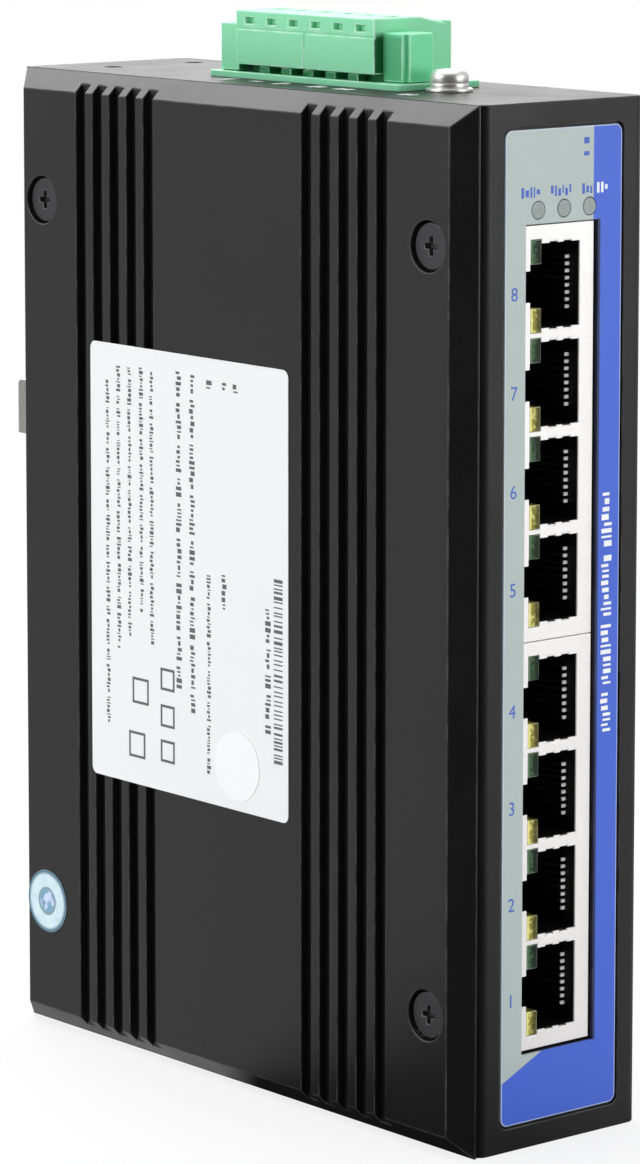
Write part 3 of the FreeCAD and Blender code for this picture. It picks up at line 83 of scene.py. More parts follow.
def linear(code):
    """A hex colour of a paint chart as linear red, green, blue and alpha."""
    shades = [int(code[i : i + 2], 16) / 255 for i in (1, 3, 5)]
    return [s / 12.92 if s < 0.04045 else ((s + 0.055) / 1.055) ** 2.4 for s in shades] + [1]


def put(tree, kind, sockets=None, **settings):
    """Add a node, set its choices, and fill or link its sockets."""
    made = tree.nodes.new("ShaderNode" + kind)
    for name, value in settings.items():
        setattr(made, name, value)
    for name, value in (sockets or {}).items():
        if isinstance(value, bpy.types.NodeSocket):
            tree.links.new(value, made.inputs[name])
        else:
            made.inputs[name].default_value = value
    return made


def sums(tree, what, *values):
    """The result of a sum on numbers or sockets."""
    return put(tree, "Math", dict(enumerate(values)), operation=what).outputs[0]


def overlap(tree, first, *others):
    """Masks multiplied, so that only the place that they share stays."""
    for other in others:
        first = sums(tree, "MULTIPLY", first, other)
    return first


def blend(tree, share, first, second):
    """Two colours mixed by a share from 0 to 1."""
    made = put(tree, "Mix", {0: share, 6: first, 7: second}, data_type="RGBA")
    return made.outputs[2]


def band(tree, value, low, high, start=0.0, end=1.0):
    """A value turned from one range into another, and kept inside it."""
    sockets = {0: value, 1: low, 2: high, 3: start, 4: end}
    return put(tree, "MapRange", sockets).outputs[0]


print("a mid grey:", [round(v, 3) for v in linear("#808080")])

# %% [markdown]
# ## Effects that many finishes share
#
# A real surface is never one flat colour. Paint has a fine grain, hands leave smudges
# that change the gloss, dust settles on what faces up, and corners rub bright. Each of
# these effects is a node group: built once, then placed in each material with values of
# its own. A group puts out only masks and heights, and the shader itself stays in the
# material.

# %% Helper for node groups
VALUE = "NodeSocketFloat"


def effect(name, inputs, outputs, build):
    """A shader node group with named number inputs and outputs."""
    group = bpy.data.node_groups.new(name, "ShaderNodeTree")
    for socket, value in inputs.items():
        made = group.interface.new_socket(socket, in_out="INPUT", socket_type=VALUE)
        made.default_value = value
    for socket, kind in outputs.items():
        group.interface.new_socket(socket, in_out="OUTPUT", socket_type=kind)
    begin = group.nodes.new("NodeGroupInput")
    finish = group.nodes.new("NodeGroupOutput")
    for socket, result in build(group, begin.outputs).items():
        group.links.new(result, finish.inputs[socket])
    print("effect", name, list(inputs), "->", list(outputs))
    return group


def use(tree, group, **values):
    """Place an effect in a material and give its output sockets."""
    made = put(tree, "Group", node_tree=group)
    for name, value in values.items():
        name = name.replace("_", " ")
        if isinstance(value, bpy.types.NodeSocket):
            tree.links.new(value, made.inputs[name])
        else:
            made.inputs[name].default_value = value
    return made.outputs


print("an effect's numbers are sockets of the kind", VALUE)

# %% Grain and smudges
SWELL_SCALE, SWELL_HEIGHT = 0.17, 0.5  # the slow swell, as shares of the grain's


def build_grain(tree, given):
    """Fine bumps at one size, with a slower swell under them."""
    place = put(tree, "TexCoord").outputs["Object"]
    fine = put(tree, "TexNoise", {"Vector": place, "Scale": given["Scale"], "Detail": 3.0})
    slow_scale = sums(tree, "MULTIPLY", given["Scale"], SWELL_SCALE)
    slow = put(tree, "TexNoise", {"Vector": place, "Scale": slow_scale, "Detail": 1.0})
    height = sums(tree, "MULTIPLY_ADD", slow.outputs[0], SWELL_HEIGHT, fine.outputs[0])
    return {"Height": height, "Tone": band(tree, fine.outputs[0], 0.3, 0.7)}


def build_smudges(tree, given):
    """Soft patches where hands have changed the gloss."""
    place = put(tree, "TexCoord").outputs["Object"]
    cloud = put(tree, "TexNoise", {"Vector": place, "Scale": given["Scale"], "Detail": 4.0})
    patch = band(tree, cloud.outputs[0], 0.35, 0.65)
    return {"Change": sums(tree, "MULTIPLY", sums(tree, "SUBTRACT", patch, 0.5), given["Amount"])}


grain = effect("grain", {"Scale": 1000.0}, {"Height": VALUE, "Tone": VALUE}, build_grain)
smudges = effect("smudges", {"Scale": 60.0, "Amount": 0.1}, {"Change": VALUE}, build_smudges)

# %% Dust and worn edges
DUST_SCALE = 260.0


def build_dust(tree, given):
    """A thin settled layer on what faces up, thicker in some places."""
    facing = put(tree, "NewGeometry").outputs["Normal"]
    up = put(tree, "SeparateXYZ", {0: facing}).outputs["Z"]
    place = put(tree, "TexCoord").outputs["Object"]
    cloud = put(tree, "TexNoise", {"Vector": place, "Scale": DUST_SCALE, "Detail": 5.0})
    patchy = band(tree, cloud.outputs[0], 0.35, 0.75)
    return {"Mask": overlap(tree, band(tree, up, 0.3, 1.0), patchy, given["Amount"])}


def build_wear(tree, given):
    """Rubbed corners, broken up by noise. The mesh says which faces are corners."""
    corner = put(tree, "Attribute", attribute_name="worn_edge").outputs["Fac"]
    place = put(tree, "TexCoord").outputs["Object"]
    cloud = put(tree, "TexNoise", {"Vector": place, "Scale": given["Scale"], "Detail": 4.0})
    broken = band(tree, cloud.outputs[0], 0.38, 0.62, 0.25, 1.0)
    return {"Mask": overlap(tree, corner, broken, given["Amount"])}


dust = effect("dust", {"Amount": 0.1}, {"Mask": VALUE}, build_dust)
wear = effect("edge_wear", {"Scale": 300.0, "Amount": 0.5}, {"Mask": VALUE}, build_wear)

# %% [markdown]
# ## One recipe for all finishes
#
# Every finish on the switch follows one recipe: a base colour that the grain makes
# lighter and darker by a little, rubbed corners in a second colour, dust on top, gloss
# that the smudges change, and bumps from the grain. The recipe gives back the material
# and the nodes, so that a finish with a print of its own can go on from there.

# %% The recipe
DUST_COLOUR = linear("#b9b4aa")
WEAR_SCALE, SMUDGE_SCALE = 350.0, 70.0  # how fine worn corners and smudges are
DUST_DULLS = 0.5  # how much roughness a full layer of dust adds
BUMP_DEPTH = 0.3  # depth of the bumps, as a share of the grain's size


def finish(name, colour, rough, size=0.4, bump=0.1, tone=0.12, **more):
    """A material: colour, roughness, grain size in mm, bump strength and tone change.

    more may give metal, shine, worn (a colour), rub (its share), dusty, smudge, coat,
    coat_rough, and paint: a function that turns the base colour into a printed one.
    """
    made = bpy.data.materials.new(name)
    made.use_nodes = True
    tree = made.node_tree
    shader = tree.nodes["Principled BSDF"]
    shader.inputs["Metallic"].default_value = more.get("metal", 0.0)
    shader.inputs["Specular IOR Level"].default_value = more.get("shine", 0.5)
    shader.inputs["Coat Weight"].default_value = more.get("coat", 0.0)
    shader.inputs["Coat Roughness"].default_value = more.get("coat_rough", 0.05)

    skin = use(tree, grain, Scale=1 / (size * MM))
    base = linear(colour)
    darker = [v * (1 - tone) for v in base[:3]] + [1]
    lighter = [min(1, v * (1 + tone)) for v in base[:3]] + [1]
    shade = blend(tree, skin["Tone"], darker, lighter)
    if "paint" in more:
        shade = more["paint"](tree, shade)
    rubbed = use(tree, wear, Scale=WEAR_SCALE, Amount=more.get("rub", 0.35))["Mask"]
    shade = blend(tree, rubbed, shade, linear(more.get("worn", colour)))
    settled = use(tree, dust, Amount=more.get("dusty", 0.04))["Mask"]
    shade = blend(tree, settled, shade, DUST_COLOUR)
    tree.links.new(shade, shader.inputs["Base Color"])

    change = use(tree, smudges, Scale=SMUDGE_SCALE, Amount=more.get("smudge", 0.08))["Change"]
    dulled = sums(tree, "MULTIPLY", settled, DUST_DULLS)
    gloss = sums(tree, "ADD", sums(tree, "ADD", change, rough), dulled)
    tree.links.new(gloss, shader.inputs["Roughness"])
    bumps = {"Height": skin["Height"], "Strength": bump, "Distance": size * MM * BUMP_DEPTH}
    tree.links.new(put(tree, "Bump", bumps).outputs[0], shader.inputs["Normal"])
    print("finish", name, colour)
    return made


print("dust in linear light:", [round(v, 3) for v in DUST_COLOUR])

# %% [markdown]
# ## Breaking the edges
#
# CAD solids have perfectly sharp edges, and nothing made of metal or plastic does. A
# real edge has a tiny radius that catches the light as a thin bright line, and without
# it a model looks like a drawing. The edges could be rounded in the CAD file, but dozens
# of tiny fillets make a CAD model slow and fragile.
#
# So each part that shows is copied, its triangles are merged back into flat faces, and
# its outward sharp edges get a bevel of a tenth or two of a millimetre. The copy then
# stands for the CAD part. The bevel's own faces are marked in an attribute, which the
# edge wear effect reads.

# %% Helpers that turn a mesh into a piece


def merged(source):
    """A part's mesh with its doubled points and needless triangles joined."""
    form = bmesh.new()
    form.from_mesh(source.data)
    bmesh.ops.remove_doubles(form, verts=form.verts, dist=1e-6)
    bmesh.ops.dissolve_limit(
        form, angle_limit=math.radians(0.4), verts=form.verts, edges=form.edges
    )
    return form


def mesh_piece(name, form, material, body):
    """Turn a bmesh into a piece that rides on a body."""
    mesh = bpy.data.meshes.new(name)
    form.to_mesh(mesh)
    form.free()
    piece = bpy.data.objects.new(name, mesh)
    bpy.context.scene.collection.objects.link(piece)
    mesh.materials.append(material)
    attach(piece, body)
    return piece


def smooth_over(piece, angle=40):
    """Smooth shading that keeps flat faces flat and corners crisp."""
    piece.data.shade_smooth()
    piece.data.set_sharp_from_angle(angle=math.radians(angle))
    weighted = piece.modifiers.new("flat faces first", "WEIGHTED_NORMAL")
    weighted.keep_sharp = True
    return piece


cover = parts["side_cover"]
form = merged(cover)
print("side cover:", len(cover.data.polygons), "triangles,", len(form.faces), "faces")
form.free()

# %% Helper that breaks edges


def break_edges(
    part, width, material, body="housing", steps=2, angle=28, change=None
):
    """A copy of a CAD part with its outward edges rounded, which stands for the part.

    change may be a function that moves some of the copy's corners first.
    """
    form = merged(parts[part])
    if change:
        change(form)
    corners = []
    for edge in form.edges:
        if len(edge.link_faces) != 2 or not edge.is_convex:
            continue
        if edge.calc_face_angle(0) > math.radians(angle):
            corners.append(edge)
    worn = form.faces.layers.float.new("worn_edge")
    rounded = bmesh.ops.bevel(
        form,
        geom=corners,
        offset=width * MM,
        offset_type="OFFSET",
        segments=steps,
        profile=0.5,
        affect="EDGES",
        clamp_overlap=False,
    )
    for face in rounded["faces"]:
        face[worn] = 1.0
    piece = mesh_piece(part + "_rounded", form, material, body)
    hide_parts(part)
    smooth_over(piece)
    print("rounded", part, len(corners), "edges,", len(piece.data.polygons), "faces")
    return piece


print("widths of bevels are in mm, and one mm is", MM, "m")

# %% [markdown]
# ## The black case
#
# The case is folded and cast metal with a fine black powder coat. Powder coat melts in
# the oven into a skin with a soft orange-peel texture, darker than it looks: most of
# what the eye sees on it is reflected light. That is why the base colour here is nearly
# black, and the grey comes from the gloss and the studio.
#
# The body and the cover get a small bevel on each outward edge. The screws that hold the
# cover are blackened steel, smoother than the paint around them.

# %% Black paint and black screws
case_paint = finish(
    "case_paint", "#101012", 0.44, size=0.35, bump=0.16, tone=0.25, worn="#6d6c6a", rub=0.25,
    shine=0.42,
)
cover_paint = finish(
    "cover_paint", "#131315", 0.33, size=0.3, bump=0.14, tone=0.25, worn="#6f6e6c", rub=0.3
)
screw_black = finish(
    "screw_black", "#454547", 0.4, size=0.2, bump=0.06, metal=0.6, worn="#9a9a98", rub=0.5
)

# %% The body, the cover and its screws
break_edges("body_shell", 0.18, case_paint)
break_edges("side_cover", 0.16, cover_paint)
break_edges("cover_screws", 0.12, screw_black)

# %% [markdown]
# ## The printed film
#
# The front is a film of polycarbonate, printed on its back and glued in a shallow
# recess. It is grey-green with a blue stripe down the right side that also fills the
# foot, under a slanting line. The print could be an image, but an image has a fixed
# sharpness and belongs to somebody. Here the fields of colour come from sums on the
# film's own coordinates, so they stay sharp at any distance. Beside the window runs a
# dark line of painted shade, where the recess shades the film, and a pale line painted
# round the film's edge is a painted highlight.
#
# A field's edge needs the distance to a rounded panel's outline. The film and the paper
# label both use it, so it is an effect of its own.

# %% Distance to the edge of a rounded panel


def build_panel_edge(tree, given):
    """How far inside a rounded panel's outline a point lies, in mm."""
    beyond = []
    for axis in ("Across", "Up"):
        straight = sums(tree, "SUBTRACT", given["Half " + axis], given["Corner"])
        beyond.append(sums(tree, "SUBTRACT", sums(tree, "ABSOLUTE", given[axis]), straight))
    squares = [sums(tree, "POWER", sums(tree, "MAXIMUM", b, 0.0), 2.0) for b in beyond]
    round_part = sums(tree, "SQRT", sums(tree, "ADD", *squares))
    flat_part = sums(tree, "MINIMUM", sums(tree, "MAXIMUM", *beyond), 0.0)
    outside = sums(tree, "ADD", round_part, flat_part)
    return {"Inside": sums(tree, "SUBTRACT", given["Corner"], outside)}


panel_inputs = {"Across": 0.0, "Up": 0.0, "Half Across": 10.0, "Half Up": 10.0, "Corner": 1.0}
panel_edge = effect("panel_edge", panel_inputs, {"Inside": VALUE}, build_panel_edge)


def millimetres(tree, origin):
    """The three coordinates of a point in mm, measured from an origin in metres."""
    place = put(tree, "TexCoord").outputs["Object"]
    moved = put(tree, "VectorMath", {0: place, 1: origin}, operation="SUBTRACT").outputs[0]
    scaled = put(tree, "VectorMath", {0: moved, "Scale": 1 / MM}, operation="SCALE").outputs[0]
    return put(tree, "SeparateXYZ", {0: scaled}).outputs


# %% Sizes of the film's print
film_low, film_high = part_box("front_film")
film_middle = (film_low + film_high) / 2
film_half = (film_high - film_low) / 2 / MM
STRIPE_FROM = 5.65  # film's middle to the blue stripe's left edge, in mm
FOOT_RISE, FOOT_SLOPE = 6.3, 0.476  # slanting line: height at the left edge, and its slope
WINDOW_SIDE, WINDOW_MIDDLE, WINDOW_HALF = 6.6, -1.7, 59.55  # window, from the film's middle
SHADE_WIDTH = 0.3  # painted shade beside the window: width of its dark line, before it fades
FILM_CORNER = 1.2  # radius of the film's corners
print("half of the film:", [round(v, 2) for v in film_half])

# %% The film's colours


def film_print(tree, plain):
    """Grey-green, blue stripe and foot, painted shade by the window, painted highlight round all.
    """
    x, y, z = millimetres(tree, film_middle)
    stripe = band(tree, x, STRIPE_FROM - 0.05, STRIPE_FROM + 0.05)
    slant = sums(tree, "MULTIPLY_ADD", sums(tree, "ADD", x, film_half.x), FOOT_SLOPE, FOOT_RISE)
    above = sums(tree, "SUBTRACT", sums(tree, "ADD", z, film_half.z), slant)
    foot = band(tree, above, -0.06, 0.06, 1.0, 0.0)
    blue = sums(tree, "MAXIMUM", stripe, foot)
    colour = blend(tree, blue, plain, linear("#3a61d0"))
    # painted shade: a dark line beside the window, where the recess shades the film
    shade_to = WINDOW_SIDE + SHADE_WIDTH
    beside = band(tree, x, shade_to, shade_to + 0.2, 0.94, 0.0)
    from_middle = sums(tree, "ABSOLUTE", sums(tree, "SUBTRACT", z, WINDOW_MIDDLE))
    along = band(tree, from_middle, WINDOW_HALF, WINDOW_HALF + 0.1, 1.0, 0.0)
    right_of = band(tree, x, WINDOW_SIDE - 0.2, WINDOW_SIDE - 0.1)
    colour = blend(tree, overlap(tree, beside, along, right_of), colour, linear("#0b1238"))
    # painted highlight: a pale line round the film's edge
    sides = {"Across": x, "Up": z, "Half Across": film_half.x, "Half Up": film_half.z}
    inside = use(tree, panel_edge, Corner=FILM_CORNER, **sides)["Inside"]
    return blend(tree, band(tree, inside, 0.1, 0.22, 0.7, 0.0), colour, linear("#cfdcee"))


film_finish = finish(
    "printed_film", "#aebbb9", 0.38, size=0.12, bump=0.08, tone=0.03, rub=0.1,
    worn="#dfe5e5", paint=film_print, dusty=0.0,
)
break_edges("front_film", 0.06, film_finish)

# %% [markdown]
# ## Printed marks
#
# On the real switch the film, the label and the top carry words and signs. A part for
# everybody carries none of that, so each line of print becomes a row of small plain
# tiles with the size and rhythm of letters, and only the numbers of the eight sockets
# stay. Ink is very thin, so a tile stands just two hundredths of a millimetre proud.
#
# One mesh holds a whole area of print. Hundreds of separate objects would be slow to
# draw and hard to keep in order.

# %% Helpers for ink
INK = 0.02  # thickness of printed ink, in mm


def add_block(form, low, high):
    """Add a closed block between two corners, in mm."""
    size = Vector(high) - Vector(low)
    middle = (Vector(high) + Vector(low)) / 2
    matrix = Matrix.Translation(middle * MM) @ Matrix.Diagonal((*(size * MM), 1))
    bmesh.ops.create_cube(form, size=1.0, matrix=matrix)


class Sheet:
    """A face of the object that takes print: its two directions and its outward one."""

    def __init__(self, level, along, up, outward):
        self.level, self.along, self.up, self.outward = level, along, up, outward

    def block(self, form, low_u, high_u, low_v, high_v):
        """A tile of ink between two places along and two places up the face."""
        corners = []
        for u, v, lift in ((low_u, low_v, 0.0), (high_u, high_v, INK)):
            point = self.along * u + self.up * v + self.outward * lift
            corners.append(point + self.level)
        low = [min(a, b) for a, b in zip(*corners)]
        high = [max(a, b) for a, b in zip(*corners)]
        add_block(form, low, high)


X, Y, Z = Vector((1, 0, 0)), Vector((0, 1, 0)), Vector((0, 0, 1))
front_face = Sheet(Y * (film_low.y / MM), X, Z, -Y)
label_face = Sheet(X * (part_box("rating_label")[0].x / MM), Y, Z, -X)
top_face = Sheet(Z * (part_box("body_shell")[1].z / MM), X, Y, Z)
print("ink on three faces, level at", front_face.level.y, label_face.level.x, top_face.level.z)

# %% The rhythm of letters
LETTER_GAP, WORD_GAP = 0.2, 0.45  # as shares of the letters' size


def letters(draw, size, length, word=(3, 9), strokes=(0.22, 0.45, 0.55, 0.6)):
    """Rows of tiles with the rhythm of letters: (start, end, foot, head) along a line."""
    tiles, at = [], 0.0
    while at < length:
        for _ in range(draw.randint(*word)):
            width = size * draw.choice(strokes)
            foot, head = draw.choice(((0, 1), (0, 0.7), (0.25, 1), (0.1, 0.75), (0.3, 0.75)))
            tiles.append((at, at + width, foot * size, head * size))
            at += width + LETTER_GAP * size
        at += WORD_GAP * size
    return [tile for tile in tiles if tile[1] <= length]


print("letters in a line of 30 mm:", len(letters(random.Random(1), 2.0, 30.0)))

# %% Inks
ink_blue = finish("ink_blue", "#3f63c2", 0.45, size=0.1, bump=0.05, tone=0.08, dusty=0.0)
ink_white = finish("ink_white", "#eef0f2", 0.5, size=0.1, bump=0.05, tone=0.05, dusty=0.0)
ink_dark = finish("ink_dark", "#5c5d61", 0.55, size=0.1, bump=0.05, tone=0.2, dusty=0.0)

# %% Numbers beside the sockets
NUMBER_HEIGHT = 2.0
NUMBER_AT = -7.8  # middle of the numbers, left of the sockets, in mm
NUMBER_DROP = 0.9  # the numbers stand this much below the sockets' middles
FONT_SHARE = 0.72  # height of a numeral, as a share of its font's size
SOCKET_PITCH = 13.97


def socket_heights():
    """The middle of each socket in mm, from the lowest up: four in each gang."""
    heights = []
    for gang in ("lower", "upper"):
        low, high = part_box(gang + "_port_block")
        middle = (low.z + high.z) / 2 / MM
        heights += [middle + (i - 1.5) * SOCKET_PITCH for i in range(4)]
    return heights


def add_number(form, text, at):
    """A numeral from Blender's own font, as thin ink on the front."""
    curve = bpy.data.curves.new("numeral", "FONT")
    curve.body, curve.size = text, NUMBER_HEIGHT * MM / FONT_SHARE
    curve.align_x, curve.align_y = "CENTER", "CENTER"
    curve.extrude, curve.resolution_u = INK * MM, 4
    letter = bpy.data.objects.new("numeral", curve)
    bpy.context.scene.collection.objects.link(letter)
    bpy.context.view_layer.update()
    mesh = bpy.data.meshes.new_from_object(letter)
    mesh.transform(Matrix.Translation(Vector(at) * MM) @ Matrix.Rotation(math.pi / 2, 4, "X"))
    form.from_mesh(mesh)
    bpy.data.objects.remove(letter)
    bpy.data.meshes.remove(mesh)


form = bmesh.new()
for index, height in enumerate(socket_heights(), start=1):
    add_number(form, str(index), (NUMBER_AT, front_face.level.y, height - NUMBER_DROP))
mesh_piece("socket_numbers", form, ink_blue, "housing")
print("socket middles:", [round(h, 2) for h in socket_heights()])

# %% Marks on the film
draw = random.Random(4)
THIN = (0.16, 0.22, 0.32, 0.42)  # widths of letters, as shares of their size
LIGHT_MARKS_AT, LIGHT_MARKS_SIZE = 136.6, 1.5  # marks over the lights, in mm
LIGHT_MARKS = ((-6.6, 3.6), (-1.0, 4.6), (5.0, 5.2))  # where each starts, and its length
STRIPE_MARKS_AT, STRIPE_MARKS_TO = 93.5, 58.0  # top and foot of the stripe's line, in mm
STRIPE_MARKS_LEFT, STRIPE_MARKS_SIZE = 9.2, 2.0
DASHES = ((142.0, 142.6), (143.7, 144.6))  # foot and head of the dashes near the film's top
DASH_LEFT, DASH_RIGHT = 5.3, 6.3

blue_marks, white_marks = bmesh.new(), bmesh.new()
for start, length in LIGHT_MARKS:
    for low, high, foot, head in letters(draw, LIGHT_MARKS_SIZE, length, (5, 9), THIN):
        form = white_marks if start + low > film_middle.x / MM + STRIPE_FROM else blue_marks
        levels = (LIGHT_MARKS_AT + foot, LIGHT_MARKS_AT + head)
        front_face.block(form, start + low, start + high, *levels)
for low, high in DASHES:
    front_face.block(blue_marks, DASH_LEFT, DASH_RIGHT, low, high)
length = STRIPE_MARKS_AT - STRIPE_MARKS_TO
for low, high, foot, head in letters(draw, STRIPE_MARKS_SIZE, length, (6, 10), THIN):
    across = (STRIPE_MARKS_LEFT + foot, STRIPE_MARKS_LEFT + head)
    front_face.block(white_marks, *across, STRIPE_MARKS_AT - high, STRIPE_MARKS_AT - low)
mesh_piece("film_blue_marks", blue_marks, ink_blue, "housing")
mesh_piece("film_white_marks", white_marks, ink_white, "housing")
print("marks on the film at", LIGHT_MARKS_AT, "and", STRIPE_MARKS_AT)

# %% [markdown]
# ## The sockets
#
# Each gang of four sockets is a black nylon moulding in a can of bright tinned steel.
# The can's sheet is rolled, so its reflection is soft. The moulding is so dark inside that
# only the front bends of the gold-plated wires show, nearly white in the light. Their
# colour is painted light: white at that depth as a painted highlight, and nearly black
# further in as painted shade.
#
# Two little springs stand in notches above and below each mouth. They touch the metal
# shell of a plug. Each is a tab, level with the sheet, and a narrower tongue behind it.
#
# Two little light guides of clear plastic stand beside each socket, green above and
# yellow below. They are not lit, so they show the tint of the plastic. A brighter side,
# where the room's light enters, is a painted highlight, and the far side is painted shade.

# %% Tinned steel, black nylon and gold
tin = finish(
    "tinned_steel", "#f4f2f1", 0.42, size=0.25, bump=0.06, tone=0.04, metal=0.45,
    worn="#ffffff", rub=0.3, dusty=0.0, smudge=0.12,
)
nylon = finish("black_nylon", "#0a0a0b", 0.5, size=0.2, bump=0.1, tone=0.3, shine=0.25, dusty=0.0)
WIRE_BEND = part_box("lower_port_contacts")[0].y


def wire_shade(tree, plain):
    """Painted highlight where the wires bend towards the mouth, painted shade further in."""
    y = millimetres(tree, Vector((0, WIRE_BEND, 0)))[1]
    # painted shade: nearly black further in, where the moulding shades the wires
    return blend(tree, band(tree, y, 0.16, 0.3), plain, linear("#020201"))


# the white base colour is a painted highlight on the gold-plated bends, not the gold's own colour
gold = finish(
    "gold_plate", "#ffffff", 0.5, size=0.1, bump=0.02, tone=0.01, metal=0.0, dusty=0.0,
    paint=wire_shade, shine=0.3, worn="#fffdf5", rub=0.0,
)

# %% Light guides
LIGHTS_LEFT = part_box("lower_green_lights")[0].x
SPECK_SCALE = 1500.0


def guide_tint(bright, dark):
    """Light guides: painted highlight on the near edge, pale specks, painted shade on the far
    side.
    """

    def paint(tree, plain):
        x = millimetres(tree, Vector((LIGHTS_LEFT, 0, 0)))[0]
        specks = band(tree, use(tree, grain, Scale=SPECK_SCALE)["Tone"], 0.52, 0.6, 0.0, 0.5)
        colour = blend(tree, specks, plain, linear(bright))
        # painted shade on the far side of the guide
        colour = blend(tree, band(tree, x, 0.8, 1.3, 0.0, 0.85), colour, linear(dark))
        # painted highlight on the edge where the room's light comes in
        return blend(tree, band(tree, x, 0.2, 0.5, 0.9, 0.0), colour, linear(bright))

    return paint


green_guide = finish(
    "green_guide", "#223f28", 0.35, size=0.5, bump=0.04, tone=0.35, dusty=0.0,
    paint=guide_tint("#557353", "#0b180f"), shine=0.2, worn="#93a88f", rub=0.6,
)
yellow_guide = finish(
    "yellow_guide", "#8d8538", 0.35, size=0.5, bump=0.04, tone=0.3, dusty=0.0,
    paint=guide_tint("#f1ec92", "#38350f"), shine=0.2, worn="#d8d6a8", rub=0.5,
)

# %% The two gangs of sockets
for gang in ("lower", "upper"):
    break_edges(gang + "_port_shield", 0.08, tin)
    break_edges(gang + "_port_block", 0.1, nylon)
    break_edges(gang + "_port_contacts", 0.05, gold, steps=1)
    break_edges(gang + "_green_lights", 0.12, green_guide)
    break_edges(gang + "_yellow_lights", 0.12, yellow_guide)

# %% Ground springs in the shields' notches
MOUTH_HALF = 6.0  # half the height of a socket's mouth, in mm
SPRING_ROOT, SPRING_TIP = 0.4, 0.2  # a spring's two edges beyond the mouth
SPRINGS_AT = (0.05, 2.75)  # middles of the two springs above and below each mouth
SPRING_STEPS = ((0.72, 0.02, 0.3), (0.5, 0.3, 1.6))  # half width, and depths behind the face
springs = bmesh.new()
shield_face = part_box("lower_port_shield")[0].y / MM
for height in socket_heights():
    for side in (-1, 1):
        for middle in SPRINGS_AT:
            root, tip = (height + side * (MOUTH_HALF + rise) for rise in (SPRING_ROOT, SPRING_TIP))
            low, high = min(root, tip), max(root, tip)
            for half, front, back in SPRING_STEPS:
                first = (middle - half, shield_face + front, low)
                add_block(springs, first, (middle + half, shield_face + back, high))
piece = mesh_piece("ground_springs", springs, tin, "housing")
soften = piece.modifiers.new("soft corners", "BEVEL")
soften.width, soften.segments = 0.04 * MM, 2
print("ground springs:", len(socket_heights()) * 4)

# %% [markdown]
# ## Status lights
#
# Three small round lights look through the film above the sockets. Their tips are
# frosted grey plastic, slightly domed so that they show from the side. A wide bevel on
# the CAD rod makes the dome.

# %% Frosted tips
frosted = finish(
    "frosted_tip", "#8f9a97", 0.45, size=0.15, bump=0.1, tone=0.12, worn="#b9c1bf", rub=0.4,
    dusty=0.0, coat=0.3,
)
break_edges("status_lights", 0.3, frosted, steps=3, angle=50)

# %% [markdown]
# ## The green terminal block
#
# The plug and its header are moulded in green glass-filled nylon. Such mouldings have a
# slightly waxy gloss, a fine spark-eroded texture and pale, softly rounded edges, and
# light goes a little way into them. Subsurface scattering with a short reach gives that
# softness.
#
# In the block's gaps, light bounces from green to green, and the green gets deep. Many
# bounces are slow to render, so light and shade are painted by place: painted bounce
# light on the whole front ear, and painted shade in the notch down its corner, on the
# wall beside it and on the ribs under the plug.
#
# The back ear stands further left than the front one. The copy of the plug gets that
# before its edges are broken.

# %% Painted shade and bounce light on the green
EAR_SIDE, EAR_FRONT = -3.05, -24.05  # inner corner of the notch down the front ear, in mm
EAR_NOTCH = 0.8  # side of that notch
RIM_TOP, RIB_TOP, EAR_TOP = 151.0, 152.0, 158.2  # heights of the rim, the ribs and the ears
RIB_SIDE = -4.85  # left ends of the ribs under the plug
PLUG_FRONT = -19.85  # front wall of the plug, behind the front ear


def deep_green(tree, plain):
    """Painted bounce light on the front ear, painted shade in its notch and under the plug."""
    x, y, z = millimetres(tree, Vector((0, 0, 0)))
    over_rim = band(tree, z, RIM_TOP + 0.04, RIM_TOP + 0.08)
    # painted bounce light: a more saturated green on the front ear
    ear = overlap(tree, over_rim, band(tree, y, PLUG_FRONT - 0.1, PLUG_FRONT, 0.6, 0.0))
    colour = blend(tree, ear, plain, linear("#66eca8"))
    # painted shade in the notch down the front ear's corner
    left_of = band(tree, x, EAR_SIDE - 0.02, EAR_SIDE + 0.02, 1.0, 0.0)
    before = band(tree, y, EAR_FRONT - 0.05, EAR_FRONT + 0.02, 0.85, 0.0)
    colour = blend(tree, overlap(tree, over_rim, left_of, before), colour, linear("#1d9a60"))
    # painted shade in the gap between the front ear and the plug's wall
    ear_left = EAR_SIDE - EAR_NOTCH
    left_of = band(tree, x, ear_left - 0.05, ear_left + 0.05, 1.0, 0.0)
    below = band(tree, z, EAR_TOP - 0.8, EAR_TOP + 0.1, 1.0, 0.0)
    before = band(tree, y, PLUG_FRONT + 0.02, PLUG_FRONT + 0.12, 0.97, 0.0)
    gap = overlap(tree, over_rim, left_of, below, before)
    colour = blend(tree, gap, colour, linear("#04552a"))
    # painted shade on the ribs under the plug
    behind = band(tree, y, PLUG_FRONT + 0.2, PLUG_FRONT + 0.3)
    right_of = band(tree, x, RIB_SIDE - 0.25, RIB_SIDE - 0.05)
    above = band(tree, z, RIM_TOP - 0.3, RIM_TOP - 0.02)
    below = band(tree, z, RIB_TOP + 0.02, RIB_TOP + 0.08, 0.9, 0.0)
    ribs = overlap(tree, right_of, behind, above, below)
    return blend(tree, ribs, colour, linear("#0b7a45"))


print("ears stand", round(EAR_TOP - RIM_TOP, 1), "mm above the rim")

